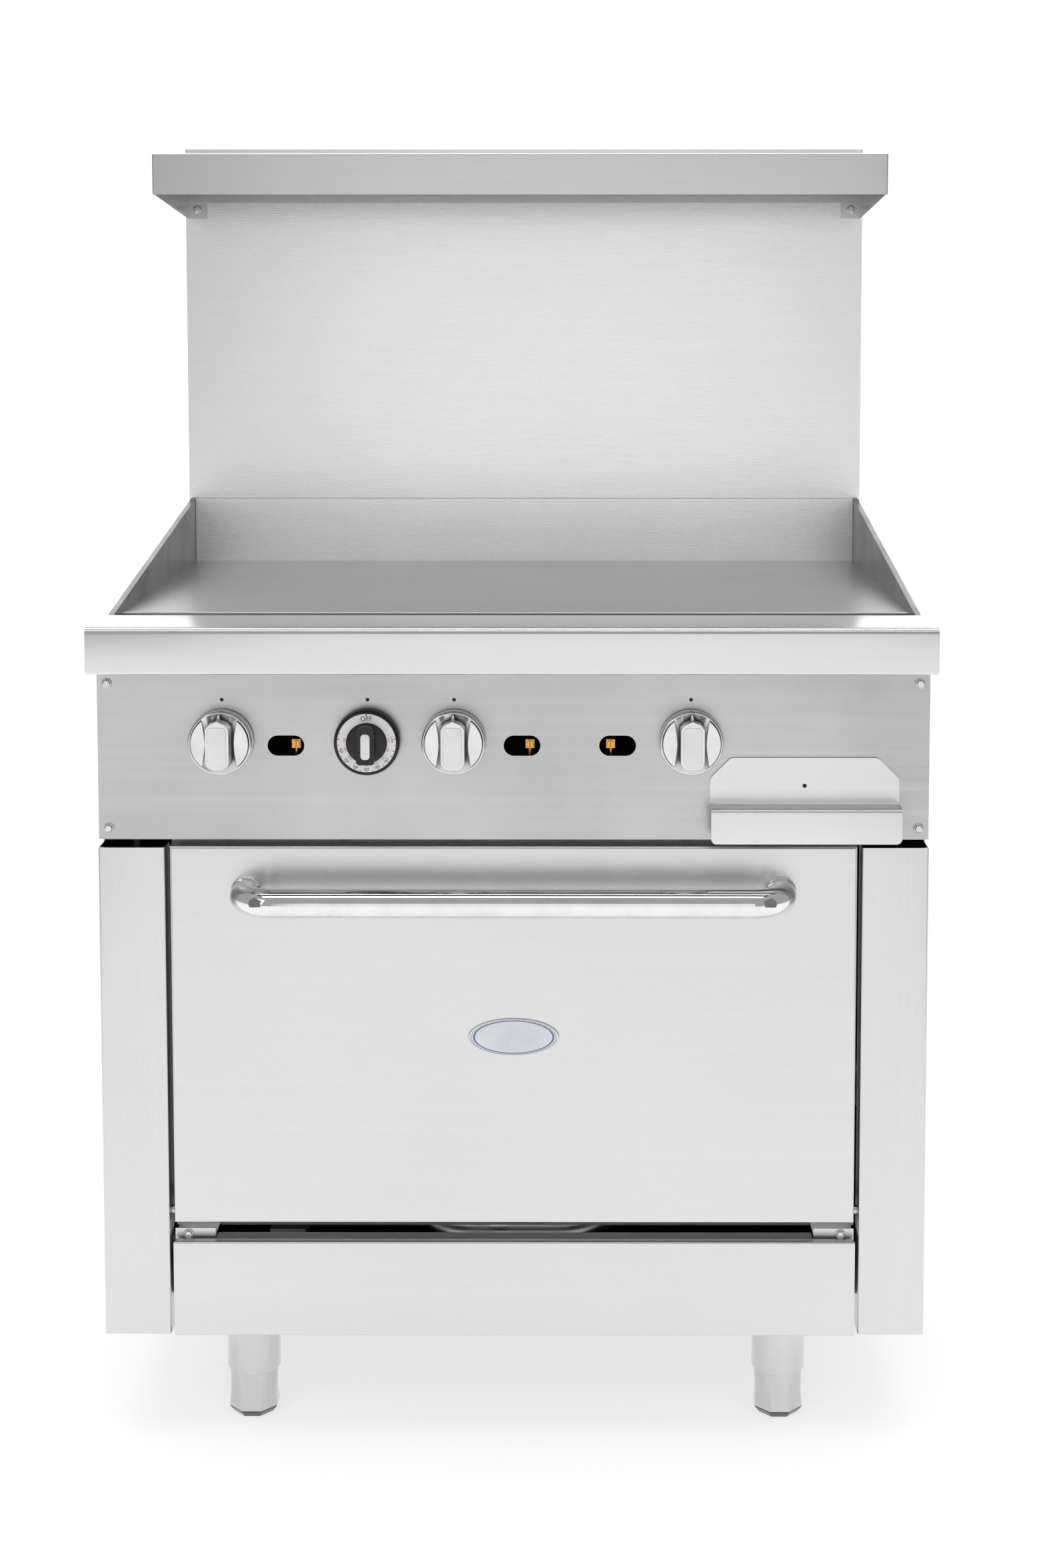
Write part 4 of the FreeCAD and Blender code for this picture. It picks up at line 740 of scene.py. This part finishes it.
def thermostat_dial():
    """Oven dial: black rim, white number ring, black grip with a pale inset."""
    a, b = low("thermostat_dial"), high("thermostat_dial")
    centre = Vector((DIAL.x, 0, DIAL.z))
    radius = (b.x - a.x) / 2
    back, front = b.y, a.y
    level = back - DIAL_DEEPER
    face = level - 9.5 * MM
    rim = lathe("dial_rim", "y", centre, [
        (radius - MM, back), (radius, back - 1.2 * MM), (radius, level - 7 * MM),
        (radius - 1 * MM, level - 9.4 * MM), (radius - 2.6 * MM, level - 10.4 * MM),
        (radius - 3.4 * MM, level - 10 * MM), (radius - 3.6 * MM, level - 9 * MM),
        (0.5 * MM, level - 9 * MM)], steps=ROUND)
    hub = lathe("dial_hub", "y", centre, [
        (22.4 * MM, level - 8 * MM), (22.4 * MM, level - 11 * MM), (21.2 * MM, level - 12.6 * MM),
        (19 * MM, level - 13 * MM), (0.5 * MM, level - 13.4 * MM)], steps=ROUND)
    x, z = centre.x, centre.z
    grip = prism("dial_grip", "y", front + 0.8 * MM, level - 10 * MM, [
        (x - 10 * MM, z - 21 * MM), (x + 10 * MM, z - 21 * MM), (x + 10 * MM, z + 21 * MM),
        (x - 10 * MM, z + 21 * MM)], [4 * MM, 4 * MM, 9 * MM, 9 * MM])
    soften(add(join("dial_body", [rim, hub, grip]), "dial", "dial_black", BLACK,
               "thermostat_dial"), 0.9 * MM, 3)
    ring = lathe("dial_ring", "y", centre, [
        (22 * MM, level - 8.5 * MM), (22 * MM, face), (radius - 3.8 * MM, face),
        (radius - 3.8 * MM, level - 8.5 * MM)], steps=ROUND)
    soften(add(ring, "dial", "dial_black", WHITE_RING), 0.1 * MM)
    inset = prism("dial_inset", "y", front, front + 2 * MM,
                  rectangle(x - 5 * MM, z - 15 * MM, x + 5 * MM, z + 13 * MM), 4 * MM)
    soften(add(inset, "dial", "dial_black", PALE_INSET), 0.4 * MM)

    ink, red = [], []
    lift = face - 0.05 * MM
    ink.append(flat_text("OFF", 7.4 * MM, Vector((x, lift, z + 26.9 * MM)), 0))
    ink.append(prism("dot", "y", lift - 0.05 * MM, lift, ring_of(16, 0.9 * MM, (x, z + 31 * MM))))
    words = ["Low", "", "250", "300", "350", "400", "450", "500", ""]
    for index, word in enumerate(words):
        clock = math.radians(DIAL_FIRST + DIAL_STEP * index)
        out = Vector((math.sin(clock), 0, math.cos(clock)))
        across = Vector((out.z, 0, -out.x))
        if word:
            place = Vector((x, lift, z)) + out * 28.4 * MM
            ink.append(flat_text(word, 4.2 * MM, place, clock))
        second = Vector((x, lift, z)) + out * 24.3 * MM
        red.append(flat_text(str(110 + 20 * index), 2.9 * MM, second, clock))
        inner, outer = out * 29.6 * MM, out * 31.9 * MM
        corners = []
        for reach, way in ((inner, -1), (inner, 1), (outer, 1), (outer, -1)):
            corner = reach + across * 0.45 * MM * way
            corners.append((x + corner.x, z + corner.z))
        red.append(prism("tick", "y", lift - 0.05 * MM, lift, corners))
        half_way = math.radians(DIAL_FIRST + DIAL_STEP * (index + 0.5))
        spot = (x + 31.1 * MM * math.sin(half_way), z + 31.1 * MM * math.cos(half_way))
        ink.append(prism("dot", "y", lift - 0.05 * MM, lift, ring_of(12, 0.6 * MM, spot)))
    add(join("dial_numbers", ink), "dial", "dial_black", INK)
    add(join("dial_scale", red), "dial", "dial_black", RED_INK)


# ------------------------------------------------------------------ door fittings
def door_handle():
    """Polished tube bent back into the door at each end, with a weld collar."""
    a, b = low("door_handle"), high("door_handle")
    radius = (b.z - a.z) / 2
    bar = a.y + radius
    z = (a.z + b.z) / 2
    left, right = a.x + radius, b.x - radius
    piece = tube("handle_tube", [(left, b.y, z), (left, bar, z), (right, bar, z), (right, b.y, z)],
                 radius, 36 * MM, steps=48, arc_steps=16)
    collars = []
    for x in (left, right):
        collars.append(lathe("collar", "y", Vector((x, 0, z)), [
            (radius + 1.4 * MM, b.y), (radius + 1.2 * MM, b.y - 0.8 * MM),
            (radius + 0.3 * MM, b.y - 1.8 * MM), (radius - 1 * MM, b.y - 2 * MM),
            (radius - 1 * MM, b.y)]))
    piece.data.shade_smooth()
    joined = join("handle_bar", [piece, *collars])
    joined.data.shade_smooth()
    add(joined, "door", "chrome", CHROME, "door_handle")


def door_badge():
    """Plain oval badge: silver rim, glazed face and a thin blue band."""
    a, b = low("door_badge"), high("door_badge")
    centre = Vector(((a.x + b.x) / 2, 0, (a.z + b.z) / 2))
    wide, tall = (b.x - a.x) / 2, (b.z - a.z) / 2
    squash = tall / wide
    front = a.y
    rim = lathe("badge_rim", "y", centre, [
        (wide - 0.6 * MM, b.y), (wide, b.y - 0.4 * MM), (wide, front + 0.6 * MM),
        (wide - 0.8 * MM, front), (wide - 2.2 * MM, front + 0.1 * MM),
        (wide - 3 * MM, front + 0.8 * MM), (0.5 * MM, front + 0.8 * MM)], ROUND, squash)
    add(rim, "door", "badge", CHROME_SATIN, "door_badge").data.shade_smooth()
    face = lathe("badge_face", "y", centre, [
        (wide - 3 * MM, b.y - 0.3 * MM), (wide - 3 * MM, front + 0.7 * MM),
        (wide - 8 * MM, front + 0.35 * MM), (wide * 0.5, front + 0.1 * MM),
        (0.5 * MM, front + 0.05 * MM)], ROUND, squash)
    add(face, "door", "badge", BADGE_FACE).data.shade_smooth()
    band = lathe("badge_band", "y", centre, [
        (wide - 5.6 * MM, front + 0.45 * MM), (wide - 5.6 * MM, front + 0.3 * MM),
        (wide - 7.0 * MM, front + 0.2 * MM), (wide - 7.0 * MM, front + 0.4 * MM)], ROUND, squash)
    add(band, "door", "badge", BADGE_BLUE).data.shade_smooth()


# ------------------------------------------------------------------ feet and legs
def foot(corner, body):
    """Bullet foot: round where it leaves the tube, flaring to eight scalloped faces."""
    node = f"foot_{corner}"
    a, b = low(node), high(node)
    x, y = (a.x + b.x) / 2, (a.y + b.y) / 2
    levels = [(0.0, 22.5, 1.0), (1.2, 24, 1.0), (7.5, 29.0, 1.0), (8.6, 29.3, 1.0),
              (14, 28.7, 0.96), (22, 28.0, 0.82), (30, 27.6, 0.6), (38, 27.4, 0.35),
              (46, 27.3, 0.12), (51, 27.2, 0.0), (60, 27.2, 0.0), (b.z / MM, 27.2, 0.0)]
    steps = ROUND
    vertices, faces = [], []
    for height, radius, eight in levels:
        for index in range(steps):
            angle = 2 * math.pi * index / steps
            inside = (angle % (math.pi / 4)) - math.pi / 8
            facet = math.cos(math.pi / 8) / math.cos(inside)
            reach = radius * MM * (1 - eight + eight * facet)
            vertices.append((x + reach * math.cos(angle + math.pi / 8),
                             y + reach * math.sin(angle + math.pi / 8), height * MM))
    for ring in range(len(levels) - 1):
        for index in range(steps):
            following = (index + 1) % steps
            faces.append((ring * steps + index, ring * steps + following,
                          (ring + 1) * steps + following, (ring + 1) * steps + index))
    faces += [tuple(range(steps)), tuple(range(len(vertices) - steps, len(vertices)))]
    piece = new_object(f"{node}_bullet", vertices, faces)
    soften(add(piece, body, "leg_steel", FOOT, node), 0.5 * MM, 2, 14)


def leg_tubes():
    """The four leg sleeves, with a rolled lower edge."""
    tubes = []
    bottom, top = low("leg_tubes").z, high("leg_tubes").z
    for corner in ("front_left", "front_right", "rear_left", "rear_right"):
        a, b = low(f"foot_{corner}"), high(f"foot_{corner}")
        centre = Vector(((a.x + b.x) / 2, (a.y + b.y) / 2, 0))
        radius = high("leg_tubes").x - abs(centre.x)
        tubes.append(lathe("leg", "z", centre, [
            (radius - 2 * MM, top), (radius, top), (radius, bottom + 2 * MM),
            (radius - 0.6 * MM, bottom + 0.5 * MM), (radius - 1.4 * MM, bottom),
            (radius - 2.2 * MM, bottom + 0.6 * MM), (radius - 2.2 * MM, bottom + 20 * MM)], ROUND))
    soften(add(join("leg_sleeves", tubes), "cabinet", "leg_steel", LEG, "leg_tubes"), 0.3 * MM)


# ------------------------------------------------------------------ fasteners and ports
def islands(node):
    """Boxes of the separate solids in a CAD node."""
    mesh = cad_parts[node].data
    leader = list(range(len(mesh.vertices)))

    def root(item):
        while leader[item] != item:
            leader[item] = leader[leader[item]]
            item = leader[item]
        return item

    places = {}
    for vertex in mesh.vertices:
        key = tuple(round(value, 5) for value in vertex.co)
        leader[vertex.index] = root(places.setdefault(key, vertex.index))
    for edge in mesh.edges:
        leader[root(edge.vertices[0])] = root(edge.vertices[1])
    groups = {}
    for vertex in mesh.vertices:
        groups.setdefault(root(vertex.index), []).append(vertex.co)
    boxes = []
    for points in groups.values():
        lowest = Vector([min(point[axis] for point in points) for axis in range(3)])
        highest = Vector([max(point[axis] for point in points) for axis in range(3)])
        boxes.append((lowest, highest))
    return boxes


def hex_bolts():
    """Flanged hexagon heads on round washers."""
    heads = []
    for a, b in islands("hex_bolts"):
        centre = (a + b) / 2
        centre.y = 0
        back, front = b.y, a.y
        size = (b.z - a.z) / 2
        heads.append(lathe("washer", "y", centre, [
            (size * 1.12, back), (size * 1.16, back - 0.5 * MM), (size * 1.05, back - 1.2 * MM),
            (size * 0.5, back - 1.4 * MM)], 40))
        heads.append(lathe("head", "y", centre, [
            (size * 0.9, back - 0.6 * MM), (size * 0.9, front + 0.7 * MM),
            (size * 0.74, front), (size * 0.05, front)], 6))
    soften(add(join("bolt_heads", heads), "cabinet", "zinc", ZINC, "hex_bolts"), 0.35 * MM, 3)


def panel_screws():
    """Pan heads under the control panel."""
    heads = []
    for a, b in islands("panel_screws"):
        centre = (a + b) / 2
        centre.z = 0
        radius = (b.x - a.x) / 2
        heads.append(lathe("screw", "z", centre, [
            (radius * 0.5, b.z), (radius, b.z - 0.2 * MM), (radius * 0.96, b.z - 1.1 * MM),
            (radius * 0.7, b.z - 1.8 * MM), (radius * 0.1, a.z)], 32))
    soften(add(join("screw_heads", heads), "cabinet", "zinc", ZINC, "panel_screws"), 0.2 * MM)


def pilot_dots():
    """Small index dots over the knobs and the dial."""
    dots = []
    for place in (*KNOBS.values(), DIAL):
        centre = Vector((place.x, 0, place.z + 45 * MM))
        dots.append(lathe("dot", "y", centre, [
            (2.1 * MM, PANEL_FACE + 0.4 * MM), (2.1 * MM, PANEL_FACE - 0.1 * MM),
            (1.2 * MM, PANEL_FACE - 0.25 * MM), (0.1 * MM, PANEL_FACE - 0.3 * MM)], 24))
    soften(add(join("index_dots", dots), "cabinet", "dial_black", BLACK), 0.1 * MM)


def rear_screws():
    """Sheet screws round the rear panel and up the flue."""
    heads = []
    panel_low, panel_high = low("rear_panel"), high("rear_panel")
    flue_high = high("flue_back")
    side = panel_high.x - 12 * MM
    panel_step = (panel_high.z - panel_low.z - 40 * MM) / 4
    flue_step = (flue_high.z - panel_high.z - 70 * MM) / 3
    places = [(way * side, panel_low.z + 20 * MM + step * panel_step)
              for way in (-1, 1) for step in range(5)]
    places += [(way * side, panel_high.z + 40 * MM + step * flue_step)
               for way in (-1, 1) for step in range(4)]
    for x, z in places:
        back = panel_high.y if z < panel_high.z else flue_high.y
        heads.append(lathe("screw", "y", Vector((x, 0, z)), [
            (4.6 * MM, back - 0.2 * MM), (4.5 * MM, back + 0.5 * MM), (3.4 * MM, back + 1.6 * MM),
            (1.2 * MM, back + 2.0 * MM)], 24))
    soften(add(join("rear_screw_heads", heads), "cabinet", "zinc", ZINC), 0.2 * MM)


bullnose_rail()
post("left", "front_post_left")
post("right", "front_post_right")
kick_panel()
high_shelf()
drawer_front()
for side in KNOBS:
    knob(side, f"{side}_knob")
thermostat_dial()
door_handle()
door_badge()
for corner in ("front_left", "front_right", "rear_left", "rear_right"):
    foot(corner, f"{corner}_foot")
leg_tubes()
hex_bolts()
panel_screws()
pilot_dots()
rear_screws()


# ------------------------------------------------------------------ studio
def card(name, corners, colour, glow):
    """A flat studio card or floor; it isn't part of the object."""
    piece = new_object(name, corners, [(0, 1, 2, 3)])
    finish = Finish(name, roughness=0.9)
    clouds = finish.noise(0.6, 2)
    finish.colour(finish.mix(clouds, colour, tuple(part * 0.98 for part in colour)))
    finish.shader.inputs["Emission Color"].default_value = (1, 1, 1, 1)
    finish.shader.inputs["Emission Strength"].default_value = glow
    piece.data.materials.append(finish.material)
    return piece


def flag(name, corners, tone=0.12, glow=0.06):
    """A dark card that only reflections see: it draws the dark lines in bright metal."""
    piece = card(name, corners, (tone, tone, tone), glow)
    piece.visible_camera = False
    piece.visible_diffuse = False
    piece.visible_shadow = False


def lamp(name, place, aim, size, power):
    """A rectangular area light aimed at a point."""
    light = bpy.data.lights.new(name, "AREA")
    light.shape = "RECTANGLE"
    light.size, light.size_y = size
    light.energy = power
    item = bpy.data.objects.new(name, light)
    bpy.context.scene.collection.objects.link(item)
    item.location = place
    item.rotation_mode = "QUATERNION"
    item.rotation_quaternion = (Vector(aim) - Vector(place)).to_track_quat("-Z", "Y")
    return item


FAR, TALL = 9, 12
WALLS = (((-FAR, FAR), (FAR, FAR)), ((-FAR, -FAR), (FAR, -FAR)), ((-FAR, -FAR), (-FAR, FAR)),
         ((FAR, -FAR), (FAR, FAR)))
card("floor", [(-FAR, -FAR, 0), (FAR, -FAR, 0), (FAR, FAR, 0), (-FAR, FAR, 0)],
     (0.46, 0.46, 0.46), 0.72)
for index, (a, b) in enumerate(WALLS):
    wall = card("backdrop", [(*a, 0), (*b, 0), (*b, TALL), (*a, TALL)], (0.85, 0.85, 0.85), 0.95)
    # the rear wall also shows in reflections; the others are only a background
    if index:
        wall.visible_glossy = False
        wall.visible_diffuse = False
FLAG_SIDE = 1.6
for side in (-FLAG_SIDE, FLAG_SIDE):
    flag("side_flag", [(side, -2.4, 0.02), (side, -1.0, 0.02), (side, -1.0, 2.0),
                       (side, -2.4, 2.0)])
FLAG_ROOF = 1.9
flag("roof_flag", [(-1.0, -0.75, FLAG_ROOF), (1.0, -0.75, FLAG_ROOF), (1.0, -0.45, FLAG_ROOF),
                   (-1.0, -0.45, FLAG_ROOF)], 0.03, 0.0)

world = bpy.data.worlds.new("studio")
world.use_nodes = True
world.node_tree.nodes["Background"].inputs["Color"].default_value = (0.96, 0.96, 0.97, 1)
world.node_tree.nodes["Background"].inputs["Strength"].default_value = 0.42
bpy.context.scene.world = world
lamp("overhead", (0, -0.6, 3.4), (0, 0, 0.8), (3.0, 2.2), 36)
lamp("front", (0.1, -6.4, 1.25), (0, 0, 1.25), (2.8, 2.2), 10)
lamp("key", (-2.6, -3.2, 2.2), (0, -0.3, 0.8), (1.4, 2.4), 18)
lamp("fill", (2.8, -3.0, 1.6), (0, -0.3, 0.8), (1.2, 2.2), 10)
bpy.context.scene.view_settings.view_transform = "Standard"


# ------------------------------------------------------------------ camera
SENSOR, LENS = 36, 52.92
SHIFT = (-0.0261, -0.19)
EYE_RIGHT, EYE_AWAY, EYE_HEIGHT = 0.0615, 2.441, 1.275
PITCH, YAW = 4.57, 0.15
camera_data = bpy.data.cameras.new("camera")
camera_data.sensor_width = SENSOR
camera_data.lens = LENS
camera_data.shift_x, camera_data.shift_y = SHIFT
camera = bpy.data.objects.new("camera", camera_data)
bpy.context.scene.collection.objects.link(camera)
camera.location = (EYE_RIGHT, RAIL_LOW.y - EYE_AWAY, EYE_HEIGHT)
camera.rotation_euler = (math.radians(90 - PITCH), 0, math.radians(YAW))
bpy.context.scene.camera = camera
